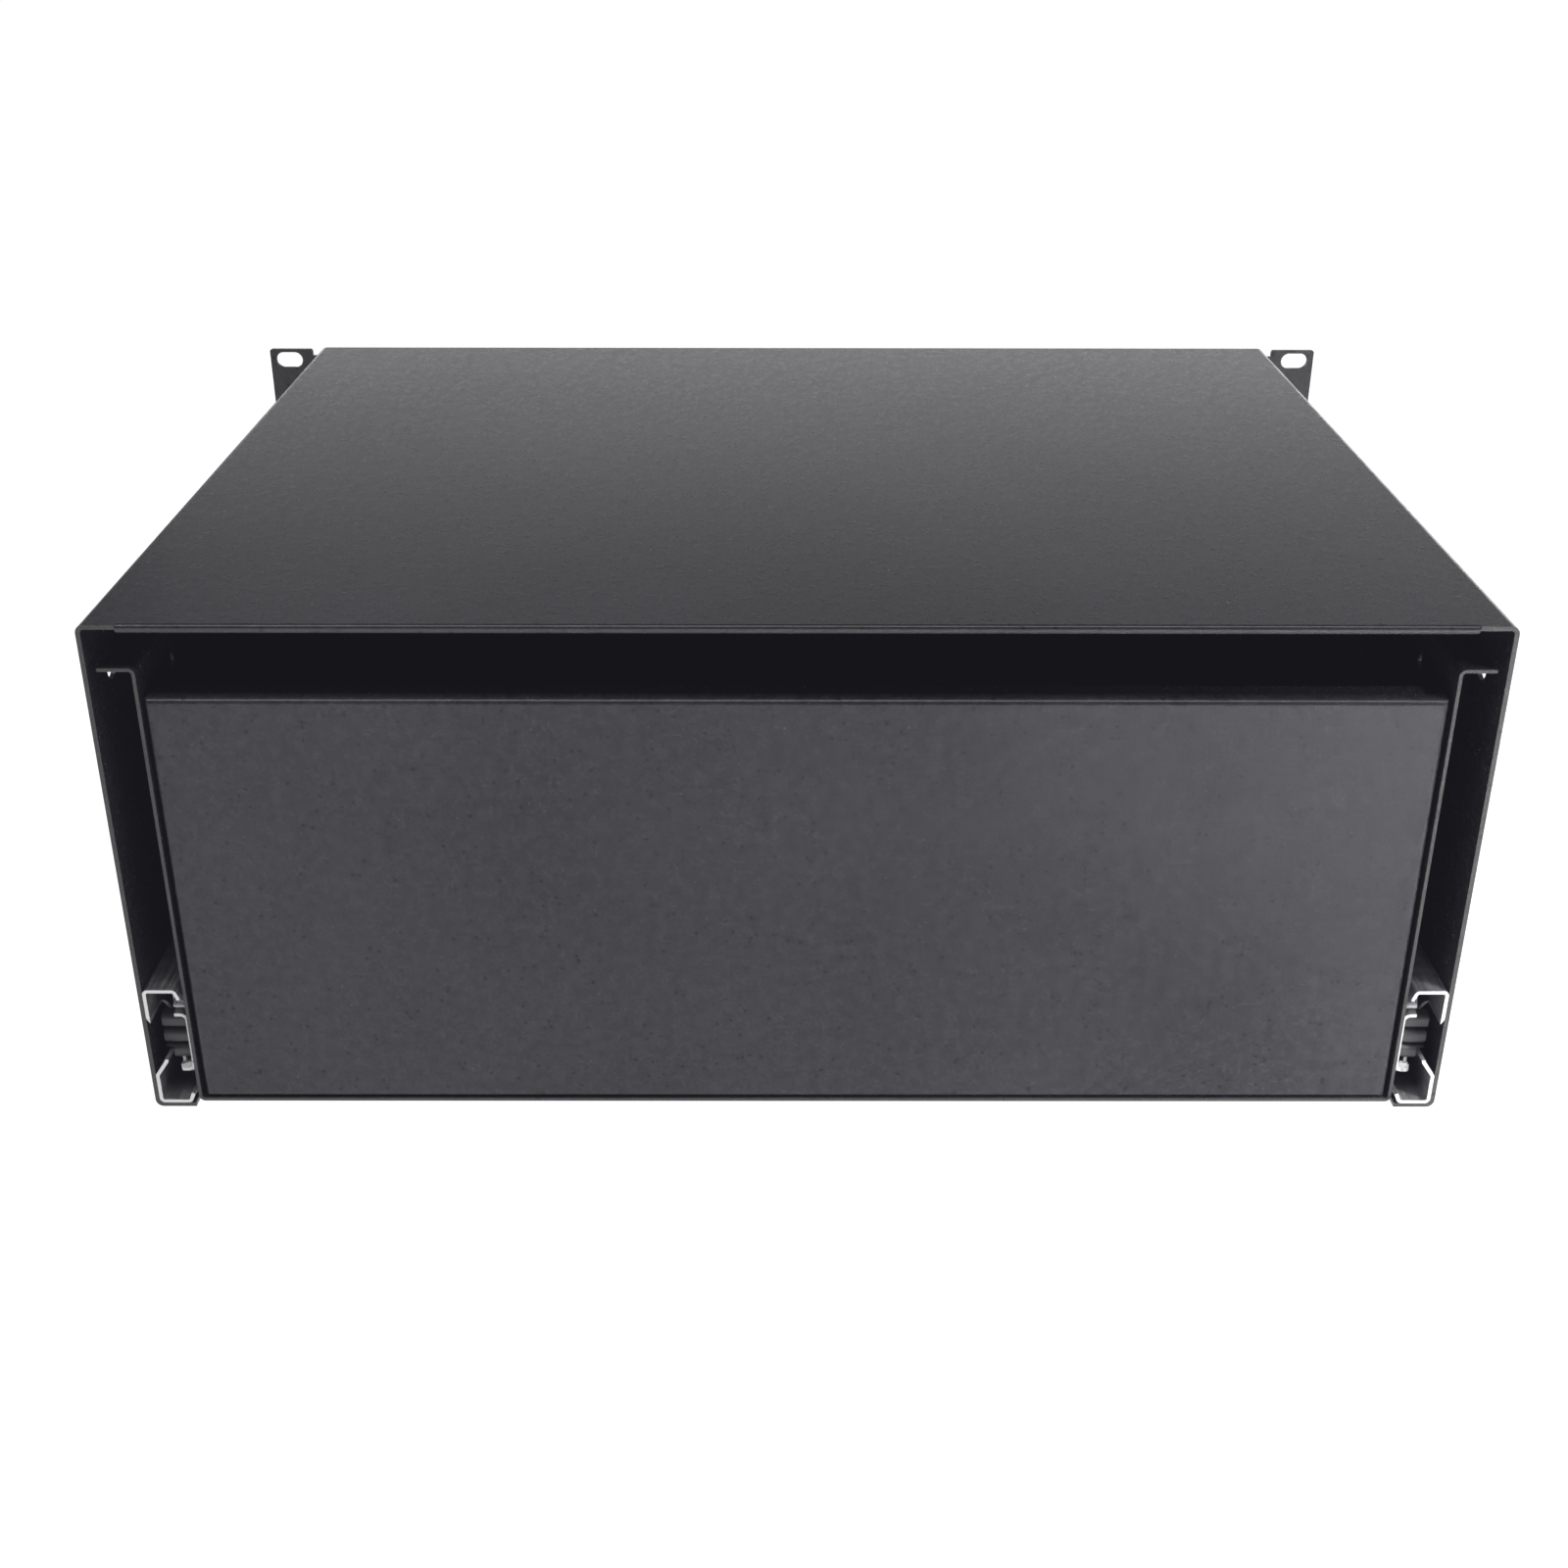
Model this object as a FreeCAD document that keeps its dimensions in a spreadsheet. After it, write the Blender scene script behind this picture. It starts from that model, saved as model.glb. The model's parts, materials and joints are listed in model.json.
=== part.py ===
"""A 4U storage drawer for a 19 inch equipment rack, on ball-bearing slides.

The sleeve is one folded sheet, open at the back and underneath, with rack ears at the front.
The drawer runs in it on two three-member telescopic slides.
Frame: +X to the right seen from the front, +Y towards the back, +Z up, millimetres.
The origin is the centre of the four rack-ear slots, on the rear face of the ears.
"""

import FreeCAD, Part
import math
import os
import re
import Sketcher
from FreeCAD import Vector

DIMENSIONS = (
    ("rack_width", 482.6, "overall width over the ears"),
    ("ear_reach", 23.3, "how far an ear stands out beside the sleeve"),
    ("body_height", 176.0, "outer height of the sleeve, four rack units less a gap"),
    ("body_depth", 346.0, "rear face of the ears to the back edge of the sleeve"),
    ("sleeve_sheet", 1.5, "sheet thickness of the sleeve"),
    ("sleeve_bend", 1.2, "inside bend radius of the sleeve"),
    ("hem_round", 1.4, "edge radius of the hem at the back"),
    ("hem_depth", 10.0, "how far the hem runs in under the top"),
    ("hem_inset", 12.0, "bare edge left beside each end of the hem"),
    ("ear_drop", 0.5, "ear edge below the top and above the underside of the sleeve"),
    ("ear_notch", 3.5, "relief between an ear and the corner of the sleeve"),
    ("ear_notch_depth", 4.5, "depth of that relief"),
    ("ear_corner", 1.2, "corner radius of the ears"),
    ("slot_inset", 8.75, "slot centres from the outer edge of their ear"),
    ("slot_drop", 5.45, "slot centres from the top and the underside of the sleeve"),
    ("slot_width", 7.0, "width of a rack slot"),
    ("slot_length", 12.0, "overall length of a rack slot"),
    ("hang_hole", 8.4, "diameter of the round hole high in each sleeve side"),
    ("hang_hole_back", 21.0, "that hole to the back edge of the sleeve"),
    ("hang_hole_drop", 22.0, "that hole to the top of the sleeve"),
    ("slide_gap", 12.7, "thickness of a slide, sleeve wall to drawer wall"),
    ("slide_height", 45.0, "height of the outer slide member"),
    ("slide_sheet", 1.2, "sheet thickness of the slide members"),
    ("slide_bend", 0.6, "inside bend radius of the slide members"),
    ("slide_front", 2.0, "front end of the outer member behind the ear plane"),
    ("rib_inset", 3.9, "offset of the outer member's middle web from the sleeve"),
    ("rib_half", 5.5, "half height of that middle web"),
    ("rib_foot", 11.2, "half height where the web starts to slope"),
    ("outer_flange", 10.9, "reach of the outer member's flange"),
    ("outer_lip_reach", 12.35, "reach of the outer member's lip"),
    ("outer_lip_drop", 3.6, "height of the outer member's lip"),
    ("notch_low", 5.0, "web notch below the middle of the slide"),
    ("notch_high", 11.3, "web notch above the middle of the slide"),
    ("notch_round", 3.0, "corner radius of that notch"),
    ("notch_depth", 14.0, "length of that notch"),
    ("web_slot_length", 18.0, "length of the slots in the slide members' webs"),
    ("web_slot_width", 5.5, "width of those slots"),
    ("web_slot_front", 62.0, "first web slot behind the ear plane"),
    ("web_slot_pitch", 95.0, "spacing of the web slots"),
    ("middle_web", 5.9, "face of the middle member's web from the sleeve wall"),
    ("middle_half", 17.2, "half height of the middle member"),
    ("middle_flange", 11.5, "reach of the middle member's flange"),
    ("middle_lip_reach", 12.3, "reach of the middle member's lip"),
    ("middle_lip_drop", 2.0, "height of the middle member's lip"),
    ("middle_front", 4.0, "front end of the middle member behind the ear plane"),
    ("inner_half", 12.2, "half height of the inner member"),
    ("inner_tip", 8.0, "flange tips of the inner member from the sleeve wall"),
    ("inner_bend", 1.6, "inside bend radius of the inner member"),
    ("inner_back", 4.0, "back end of the inner member ahead of the sleeve's edge"),
    ("outer_ball", 3.9, "diameter of the balls in the outer races"),
    ("outer_ball_reach", 8.2, "outer ball centres from the sleeve wall"),
    ("outer_ball_half", 19.25, "outer ball centres from the slide's middle"),
    ("inner_ball", 3.5, "diameter of the balls in the inner races"),
    ("inner_ball_reach", 9.5, "inner ball centres from the sleeve wall"),
    ("inner_ball_half", 14.05, "inner ball centres from the slide's middle"),
    ("ball_pitch", 16.0, "spacing of the balls"),
    ("ball_count", 10.0, "balls in each race"),
    ("ball_play", 0.1, "radial play of a ball in its cage"),
    ("cage_sheet", 0.5, "sheet thickness of the ball cages"),
    ("cage_bend", 0.3, "inside bend radius of the ball cages"),
    ("cage_margin", 8.0, "first ball from the front end of its cage"),
    ("cage_length", 160.0, "length of a ball cage"),
    ("outer_cage_web", 5.25, "web of the outer cage from the sleeve wall"),
    ("outer_cage_tip", 10.5, "flange tip of the outer cage from the sleeve wall"),
    ("inner_cage_web", 7.2, "web of the inner cage from the sleeve wall"),
    ("inner_cage_tip", 11.8, "flange tip of the inner cage from the sleeve wall"),
    ("outer_cage_front", 88.0, "front end of the outer cage"),
    ("inner_cage_front", 92.0, "front end of the inner cage"),
    ("bumper_back", 6.5, "back face of the bumper ahead of the sleeve's edge"),
    ("bumper_depth", 4.5, "length of the bumper along the slide"),
    ("bumper_reach", 10.9, "drawer side of the bumper from the sleeve wall"),
    ("bumper_foot", 2.5, "wall side of the bumper's foot from the sleeve wall"),
    ("foot_play", 0.5, "gap round that foot in the web notch"),
    ("bumper_low", 8.9, "bumper below the middle of the slide"),
    ("bumper_rib", 5.2, "height of one bumper rib"),
    ("bumper_groove", 0.9, "gap between two bumper ribs"),
    ("bumper_round", 2.0, "edge radius of the bumper ribs"),
    ("groove_depth", 2.4, "depth of the grooves between the ribs"),
    ("rest_gap", 0.4, "gap between the middle member and the bumper"),
    ("tray_sheet", 1.2, "sheet thickness of the drawer"),
    ("tray_bend", 1.0, "inside bend radius of the drawer"),
    ("tray_lift", 0.8, "underside of the drawer above that of the sleeve"),
    ("tray_drop", 15.0, "top of the drawer's sides below the top of the sleeve"),
    ("tray_flange", 10.5, "width of the flange on top of each drawer side"),
    ("tray_back", 2.0, "back edge of the drawer ahead of the sleeve's edge"),
    ("tray_front", 2.0, "front edge of the drawer ahead of the ear plane"),
    ("foot_gap", 0.5, "gap between the sleeve's bottom flanges and the drawer"),
    ("tray_hole_length", 15.0, "length of the hole high in each drawer side"),
    ("tray_hole_width", 7.5, "height of that hole"),
    ("tray_hole_back", 32.0, "that hole to the back edge of the sleeve"),
    ("tray_hole_drop", 27.0, "that hole to the top of the sleeve"),
    ("wall_gap", 1.0, "gap between the drawer's sides and its front and back walls"),
    ("wall_return", 12.0, "depth of the returns on those walls"),
    ("wall_bend", 0.8, "inside radius round the face of those walls"),
    ("back_drop", 25.5, "top of the back wall below the top of the sleeve"),
    ("back_inset", 0.4, "back wall ahead of the drawer's back edge"),
    ("front_drop", 16.2, "top of the inner front wall below the top of the sleeve"),
    ("panel_thick", 2.0, "thickness of the front panel"),
    ("panel_inset", 0.75, "front panel inside the sleeve's height, top and bottom"),
    ("panel_corner", 2.5, "corner radius of the front panel"),
    ("handle_bar", 10.0, "diameter of the handle bar"),
    ("handle_margin", 28.0, "a handle's screws from the top and the underside of the sleeve"),
    ("handle_reach", 38.0, "front panel to the outside of the handle"),
    ("handle_bend", 14.0, "bend radius of the handle's centre line"),
    ("handle_inset", 33.0, "handles from the ends of the front panel"),
    ("foot_disc", 15.0, "diameter of a handle's foot"),
    ("foot_thick", 3.0, "thickness of a handle's foot"),
    ("handle_bore_depth", 11.0, "depth of the threaded hole in a handle's foot"),
    ("handle_screw", 5.0, "diameter of the handle screws"),
    ("handle_screw_grip", 11.5, "length of the handle screws under the head"),
    ("thread_play", 0.1, "difference of diameter between a screw and its hole"),
    ("hole_play", 0.5, "difference of diameter between a screw and a plain hole"),
    ("mount_screw", 4.0, "diameter of the slide screws"),
    ("truss_head", 8.6, "head diameter of the screws outside the sleeve"),
    ("truss_height", 1.7, "head height of those screws"),
    ("pan_head", 8.0, "head diameter of the screws inside the drawer"),
    ("pan_height", 2.4, "head height of those screws"),
    ("wide_pan_head", 9.5, "head diameter of the handle screws and the cam screw"),
    ("wide_pan_height", 2.8, "head height of those screws"),
    ("recess_width", 0.9, "width of a cross recess"),
    ("recess_length", 4.2, "length of a cross recess"),
    ("recess_depth", 1.1, "depth of a cross recess"),
    ("head_dome", 0.8, "rounded share of a screw head's height"),
    ("screw_front", 28.0, "first sleeve screw behind the ear plane"),
    ("screw_pitch", 136.0, "spacing of the sleeve screws"),
    ("screw_row", 16.8, "sleeve screws above and below the slide's middle"),
    ("tray_screw_front", 110.0, "first drawer screw behind the ear plane"),
    ("tray_screw_pitch", 95.0, "spacing of the drawer screws"),
    ("screw_tip", 0.4, "how far a slide screw stands through"),
    ("lock_drop", 31.0, "lock axis below the top of the sleeve"),
    ("rim_lip", 2.1, "how far the lock's rim stands out round the barrel"),
    ("lock_rim_thick", 2.2, "thickness of the lock's rim"),
    ("lock_thread", 18.8, "diameter of the lock barrel"),
    ("lock_length", 16.0, "length of the lock barrel behind the rim"),
    ("lock_hole_play", 0.2, "difference of diameter between the barrel and its hole"),
    ("plug_disc", 12.0, "diameter of the lock's turning plug"),
    ("plug_play", 0.1, "difference of diameter between the plug and its bore"),
    ("plug_tail", 8.0, "square tail of the plug"),
    ("nut_wall", 1.6, "thickness of the lock nut at its flats"),
    ("nut_thick", 4.0, "thickness of the lock nut"),
    ("cam_length", 24.0, "lock axis to the tip of the cam"),
    ("cam_width", 16.0, "width of the cam"),
    ("cam_thick", 2.0, "thickness of the cam"),
    ("cam_gap", 0.3, "gap between the barrel and the cam"),
    ("cam_screw", 5.0, "diameter of the cam screw"),
    ("cam_screw_grip", 7.0, "length of the cam screw under the head"),
    ("key_bow", 24.0, "diameter of the key's bow"),
    ("key_bow_out", 24.0, "centre of the bow ahead of the lock's rim"),
    ("key_hole", 6.0, "hole in the key's bow"),
    ("key_hole_shift", 6.0, "that hole from the centre of the bow"),
    ("key_thick", 1.6, "thickness of the key"),
    ("key_blade", 7.4, "width of the key's blade"),
    ("key_depth", 11.0, "how far the blade goes into the plug"),
    ("keyway_play", 0.2, "gap round the blade in the keyway"),
    ("strike_width", 40.0, "width of the strike bracket"),
    ("strike_leg", 15.0, "length of the strike's upper leg"),
    ("strike_sheet", 1.5, "sheet thickness of the strike"),
    ("strike_setback", 1.3, "gap between the strike and the locked cam"),
    ("strike_hang", 11.5, "how far the strike hangs below the sleeve's ceiling"),
    ("lever_front", 24.0, "front end of a release lever behind the ear plane"),
    ("lever_length", 56.0, "length of a release lever"),
    ("lever_width", 8.0, "height of a release lever"),
    ("lever_thick", 2.2, "thickness of a release lever"),
    ("lever_gap", 0.3, "gap between the lever and the inner member"),
    ("lever_tab", 2.5, "how far the finger tab stands above the lever"),
    ("lever_tab_length", 10.0, "length of the finger tab"),
    ("pivot_pin", 4.0, "diameter of the lever's pivot"),
    ("pivot_head", 6.5, "head diameter of the lever's pivot"),
    ("pivot_head_thick", 0.6, "head thickness of the lever's pivot"),
    ("pivot_play", 0.1, "difference of diameter between the pivot and its hole"),
    ("pivot_back", 9.0, "pivot to the back end of the lever"),
)

# Sizes that follow from the ones above, written in their names.
DERIVED = {
    "half": "rack_width / 2 - ear_reach",
    "slot_x": "rack_width / 2 - slot_inset",
    "slot_z": "body_height / 2 - slot_drop",
    "top": "body_height / 2",
    "bottom": "-body_height / 2",
    "inner_wall": "half - sleeve_sheet",
    "tray_half": "inner_wall - slide_gap",
    "tray_inner": "tray_half - tray_sheet",
    "foot_end": "tray_half + foot_gap",
    "tray_low": "bottom + tray_lift",
    "tray_top": "top - tray_drop",
    "tray_rear": "body_depth - tray_back",
    "slide_mid": "bottom + sleeve_sheet + slide_height / 2",
    "slide_half": "slide_height / 2",
    "hem_half": "half - hem_inset",
    "slot_half_gap": "(slot_length - slot_width) / 2",
    "bumper_front": "body_depth - bumper_back - bumper_depth",
    "bumper_height": "3 * bumper_rib + 2 * bumper_groove",
    "middle_back": "bumper_front - rest_gap",
    "front_face": "-tray_front - panel_thick",
    "inner_face": "-tray_front + tray_sheet",
    "lock_z": "top - lock_drop",
    "handle_x": "half - handle_inset",
    "handle_z": "top - handle_margin",
    "rim_face": "front_face - lock_rim_thick",
    "barrel_end": "front_face + lock_length",
    "cam_front": "barrel_end + cam_gap",
    "cam_back": "cam_front + cam_thick",
    "strike_back": "cam_front - strike_setback",
    "strike_front": "strike_back - strike_sheet",
    "lever_base": "slide_gap - slide_sheet - lever_gap",
    "pivot_y": "lever_front + lever_length - pivot_back",
}

FLAT = 0.001
PLANE_NORMAL = {"XY": 1, "XZ": -1, "YZ": 1}
SIDES = (("left", -1), ("right", 1))
SCREWS_IN_ROW = 3
BUMPER_RIBS = 3
NUT_SIDES = 6

doc = FreeCAD.newDocument("rack_drawer")


# ---------------------------------------------------------------- sizes


def fill_sheet():
    """Writes each driving dimension to a row of the sheet and names its cell."""
    sheet = doc.addObject("Spreadsheet::Sheet", "Dims")
    for row, (name, size, note) in enumerate(DIMENSIONS, start=1):
        sheet.set("A%d" % row, name)
        sheet.set("B%d" % row, "%g" % size)
        sheet.setAlias("B%d" % row, name)
        sheet.set("C%d" % row, note)
    doc.recompute()
    return sheet


sheet = fill_sheet()
NAMES = {name for name, size, note in DIMENSIONS}


def formula(text):
    """The text as a FreeCAD expression, with names turned into cells of the sheet."""

    def swap(match):
        word = match.group(0)
        if word in DERIVED:
            return "(" + formula(DERIVED[word]) + ")"
        return "Dims." + word if word in NAMES else word

    return re.sub(r"[a-z_]+[a-z]", swap, str(text))


def value(text):
    """The present size that a text stands for."""
    return float(sheet.evalExpression(formula(text)))


def bind(thing, prop, text):
    """Ties a property to the sheet."""
    thing.setExpression(prop, formula(text))


# ---------------------------------------------------------------- sketches


def new_sketch(body, plane, level="0"):
    """An empty sketch on one of the body's own planes, moved to a level along its axis."""
    sketch = body.newObject("Sketcher::SketchObject", body.Name + "_sketch")
    features = body.Origin.OriginFeatures
    support = next(f for f in features if f.Role == plane + "_Plane")
    sketch.AttachmentSupport = [(support, "")]
    sketch.MapMode = "FlatFace"
    bind(sketch, "AttachmentOffset.Base.z", "%d * (%s)" % (PLANE_NORMAL[plane], level))
    return sketch


def tie(sketch, kind, parts, text):
    """Adds a dimension to the sketch and ties it to the sheet."""
    index = sketch.addConstraint(Sketcher.Constraint(kind, *parts, value(text)))
    bind(sketch, "Constraints[%d]" % index, text)


def pin_point(sketch, shape, end, x, y):
    """Ties a point of the sketch to the origin in both directions."""
    tie(sketch, "DistanceX", (-1, 1, shape, end), x)
    tie(sketch, "DistanceY", (-1, 1, shape, end), y)


def join(sketch, kind, *parts):
    sketch.addConstraint(Sketcher.Constraint(kind, *parts))


def turn_at(before, corner, after):
    """Unit vectors into and out of a corner, and the signed turn between them."""
    into = (corner - before).normalize()
    out = (after - corner).normalize()
    return into, out, math.atan2(into.cross(out).z, into.dot(out))


def bend_arc(sketch, corner, into, out, turn, radius):
    """Adds an arc that rounds a corner. Returns it with its ends in travel order."""
    back = radius * math.tan(abs(turn) / 2)
    side = math.copysign(1, turn)
    start = corner - into * back
    end = corner + out * back
    centre = start + Vector(-into.y, into.x, 0) * (radius * side)
    circle = Part.Circle(centre, Vector(0, 0, 1), radius)
    first, last = (start, end) if side > 0 else (end, start)
    angles = [math.atan2((p - centre).y, (p - centre).x) for p in (first, last)]
    if angles[1] < angles[0]:
        angles[1] += 2 * math.pi
    arc = sketch.addGeometry(Part.ArcOfCircle(circle, *angles))
    return (arc, start, end) + ((1, 2) if side > 0 else (2, 1))


def run(sketch, points, radii, closed):
    """Lines through the points with the corners rounded where they have a radius."""
    count = len(points)
    arcs = {}
    for i in range(count) if closed else range(1, count - 1):
        if radii[i]:
            into, out, turn = turn_at(points[i - 1], points[i], points[(i + 1) % count])
            arcs[i] = bend_arc(sketch, points[i], into, out, turn, radii[i])
    lines = []
    for i in range(count if closed else count - 1):
        after = (i + 1) % count
        start = arcs[i][2] if i in arcs else points[i]
        end = arcs[after][1] if after in arcs else points[after]
        lines.append(sketch.addGeometry(Part.LineSegment(start, end)))
    for i, (arc, start, end, enter, leave) in arcs.items():
        join(sketch, "Tangent", lines[i - 1], 2, arc, enter)
        join(sketch, "Tangent", arc, leave, lines[i], 1)
    for i in range(count) if closed else range(1, count - 1):
        if i not in arcs:
            join(sketch, "Coincident", lines[i - 1], 2, lines[i], 1)
    return lines, arcs


def pin_corners(sketch, corners, lines, arcs, closed):
    """Ties each sharp or rounded corner to its place in the sheet."""
    last = len(corners) - 1
    for i, (x, y) in enumerate(corners):
        if i in arcs:
            place = Vector(value(x), value(y), 0)
            mark = sketch.addGeometry(Part.Point(place), True)
            join(sketch, "PointOnObject", mark, 1, lines[i - 1])
            join(sketch, "PointOnObject", mark, 1, lines[i])
            pin_point(sketch, mark, 1, x, y)
        elif i == last and not closed:
            pin_point(sketch, lines[-1], 2, x, y)
        else:
            pin_point(sketch, lines[i], 1, x, y)


def outline(sketch, corners):
    """A closed outline. A corner is its x, its y and, where it is rounded, its radius."""
    places = [(c[0], c[1]) for c in corners]
    rounds = [c[2] if len(c) > 2 else None for c in corners]
    points = [Vector(value(x), value(y), 0) for x, y in places]
    radii = [value(r) if r else None for r in rounds]
    lines, arcs = run(sketch, points, radii, True)
    pin_corners(sketch, places, lines, arcs, True)
    for i in arcs:
        tie(sketch, "Radius", (arcs[i][0],), rounds[i])


def folded(sketch, path, thick, bend):
    """The section of a folded sheet: path is one face, and the sheet is on its left."""
    points = [Vector(value(x), value(y), 0) for x, y in path]
    depth = value(thick)
    inside = value(bend)
    last = len(points) - 1
    near, far, shifted = [None], [None], []
    for i in range(last + 1):
        before, after = max(i, 1), min(i, last - 1)
        into = (points[before] - points[before - 1]).normalize()
        out = (points[after + 1] - points[after]).normalize()
        turn = math.atan2(into.cross(out).z, into.dot(out))
        left = Vector(-into.y, into.x, 0)
        shifted.append(points[i] + left * depth - into * (depth * math.tan(turn / 2)))
        if 0 < i < last:
            near.append(inside + (depth if turn > 0 else 0))
            far.append(inside + (0 if turn > 0 else depth))
    face, face_arcs = run(sketch, points, near + [None], False)
    other, other_arcs = run(sketch, shifted, far + [None], False)
    pin_corners(sketch, path, face, face_arcs, False)
    for i in face_arcs:
        outer, inner = (face_arcs, other_arcs) if near[i] > far[i] else (other_arcs, face_arcs)
        tie(sketch, "Radius", (outer[i][0],), "(%s) + (%s)" % (bend, thick))
        tie(sketch, "Radius", (inner[i][0],), bend)
    for i, (one, two) in enumerate(zip(face, other)):
        join(sketch, "Parallel", one, two)
        step = points[i + 1] - points[i]
        if path[i][1] == path[i + 1][1]:
            sign = "+" if step.x > 0 else "-"
            tie(sketch, "DistanceY", (-1, 1, two, 1), "(%s) %s %s" % (path[i][1], sign, thick))
        elif path[i][0] == path[i + 1][0]:
            sign = "-" if step.y > 0 else "+"
            tie(sketch, "DistanceX", (-1, 1, two, 1), "(%s) %s %s" % (path[i][0], sign, thick))
        else:
            tie(sketch, "Distance", (two, 1, one), thick)
    for line, twin, end in ((face[0], other[0], 1), (face[-1], other[-1], 2)):
        point = points[0] if end == 1 else points[-1]
        away = shifted[0] if end == 1 else shifted[-1]
        cap = sketch.addGeometry(Part.LineSegment(point, away))
        join(sketch, "Coincident", cap, 1, line, end)
        join(sketch, "Coincident", cap, 2, twin, end)
        join(sketch, "Perpendicular", cap, line)


def circle(sketch, x, y, diameter):
    round_edge = Part.Circle(Vector(value(x), value(y), 0), Vector(0, 0, 1), value(diameter) / 2)
    shape = sketch.addGeometry(round_edge)
    pin_point(sketch, shape, 3, x, y)
    tie(sketch, "Diameter", (shape,), diameter)


def slot(sketch, x, y, gap, width):
    """A slot along the sketch's x, with its end centres gap either side of its middle."""
    ends = ("(%s) - (%s)" % (x, gap), "(%s) + (%s)" % (x, gap))
    half = value(width) / 2
    low, high = value(y) - half, value(y) + half
    x_left, x_right = value(ends[0]), value(ends[1])
    arcs = []
    for centre, first in ((x_left, 90), (x_right, -90)):
        edge = Part.Circle(Vector(centre, value(y), 0), Vector(0, 0, 1), half)
        start = math.radians(first)
        arcs.append(sketch.addGeometry(Part.ArcOfCircle(edge, start, start + math.pi)))
    under = sketch.addGeometry(Part.LineSegment(Vector(x_left, low, 0), Vector(x_right, low, 0)))
    over = sketch.addGeometry(Part.LineSegment(Vector(x_right, high, 0), Vector(x_left, high, 0)))
    join(sketch, "Tangent", arcs[0], 2, under, 1)
    join(sketch, "Tangent", under, 2, arcs[1], 1)
    join(sketch, "Tangent", arcs[1], 2, over, 1)
    join(sketch, "Tangent", over, 2, arcs[0], 1)
    join(sketch, "Equal", arcs[0], arcs[1])
    for arc, centre in zip(arcs, ends):
        pin_point(sketch, arc, 3, centre, y)
    tie(sketch, "Radius", (arcs[0],), "(%s) / 2" % width)


# ---------------------------------------------------------------- features


def new_body(name):
    """A body that becomes one exported sub-part."""
    body = doc.addObject("PartDesign::Body", name)
    body.Label = name
    return body


def faces_front(sketch):
    """True for a sketch whose normal points against its axis."""
    return sketch.AttachmentSupport[0][0].Role.startswith("XZ")


def pad(body, sketch, length):
    """Adds material from the sketch's level towards the plus end of its axis."""
    feature = body.newObject("PartDesign::Pad", body.Name + "_pad")
    feature.Profile = sketch
    feature.Reversed = faces_front(sketch)
    bind(feature, "Length", length)
    return feature


def cut(body, sketch, length=None):
    """Takes material away towards the plus end of the axis, or both ways without a length."""
    feature = body.newObject("PartDesign::Pocket", body.Name + "_pocket")
    feature.Profile = sketch
    if length is None:
        feature.SideType = "Symmetric"
        feature.Type = "ThroughAll"
    else:
        feature.Reversed = not faces_front(sketch)
        bind(feature, "Length", length)
    return feature


def round_rim(body, feature, level, radius):
    """Rounds every edge that lies wholly at this y."""
    doc.recompute()
    rim = []
    for index, edge in enumerate(feature.Shape.Edges, start=1):
        box = edge.BoundBox
        if box.YLength < FLAT and abs(box.YMin - value(level)) < FLAT:
            rim.append("Edge%d" % index)
    rounded = body.newObject("PartDesign::Fillet", body.Name + "_rounded")
    rounded.Base = (feature, rim)
    bind(rounded, "Radius", radius)


def rectangle(x_low, x_high, y_low, y_high, corner=None):
    """The four corners of a rectangle for outline()."""
    corners = [(x_low, y_low), (x_high, y_low), (x_high, y_high), (x_low, y_high)]
    return [c + (corner,) for c in corners] if corner else corners


def pad_outline(body, plane, low, high, corners):
    sketch = new_sketch(body, plane, low)
    outline(sketch, corners)
    return pad(body, sketch, "(%s) - (%s)" % (high, low))


def cut_outline(body, plane, low, high, corners):
    sketch = new_sketch(body, plane, low)
    outline(sketch, corners)
    return cut(body, sketch, "(%s) - (%s)" % (high, low))


def pad_circles(body, plane, low, high, circles):
    sketch = new_sketch(body, plane, low)
    for x, y, diameter in circles:
        circle(sketch, x, y, diameter)
    return pad(body, sketch, "(%s) - (%s)" % (high, low))


def cut_circles(body, plane, low, high, circles):
    sketch = new_sketch(body, plane, low)
    for x, y, diameter in circles:
        circle(sketch, x, y, diameter)
    return cut(body, sketch, "(%s) - (%s)" % (high, low))


def bore_through(body, plane, circles):
    """Round holes right through the body in both directions."""
    sketch = new_sketch(body, plane)
    for x, y, diameter in circles:
        circle(sketch, x, y, diameter)
    return cut(body, sketch)


def folded_bar(body, plane, low, high, path, thick, bend):
    """A length of folded sheet."""
    sketch = new_sketch(body, plane, low)
    folded(sketch, path, thick, bend)
    return pad(body, sketch, "(%s) - (%s)" % (high, low))


def mirrored(source, name):
    """The right-hand twin of a left-hand part."""
    twin = doc.addObject("Part::Mirroring", name)
    twin.Label = name
    twin.Source = source
    twin.Normal = Vector(1, 0, 0)
    return twin


def pair(build, stem):
    """Builds a left-hand part and its right-hand twin."""
    left = build(stem + "_left")
    return [left, mirrored(left, stem + "_right")]


def reach(distance):
    """The x of a point so far from the left wall of the sleeve."""
    return "(%s) - inner_wall" % distance


def rail(height):
    """The z of a point so far above the middle of the slides."""
    return "slide_mid + (%s)" % height


# ---------------------------------------------------------------- sleeve


def screw_rows():
    """Places of the sleeve's slide screws on one side: their y and z."""
    for index in range(SCREWS_IN_ROW):
        for row in (-1, 1):
            yield "screw_front + %d * screw_pitch" % index, rail("%d * screw_row" % row)


def tray_screw_places():
    for index in range(SCREWS_IN_ROW):
        yield "tray_screw_front + %d * tray_screw_pitch" % index, "slide_mid"


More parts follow.
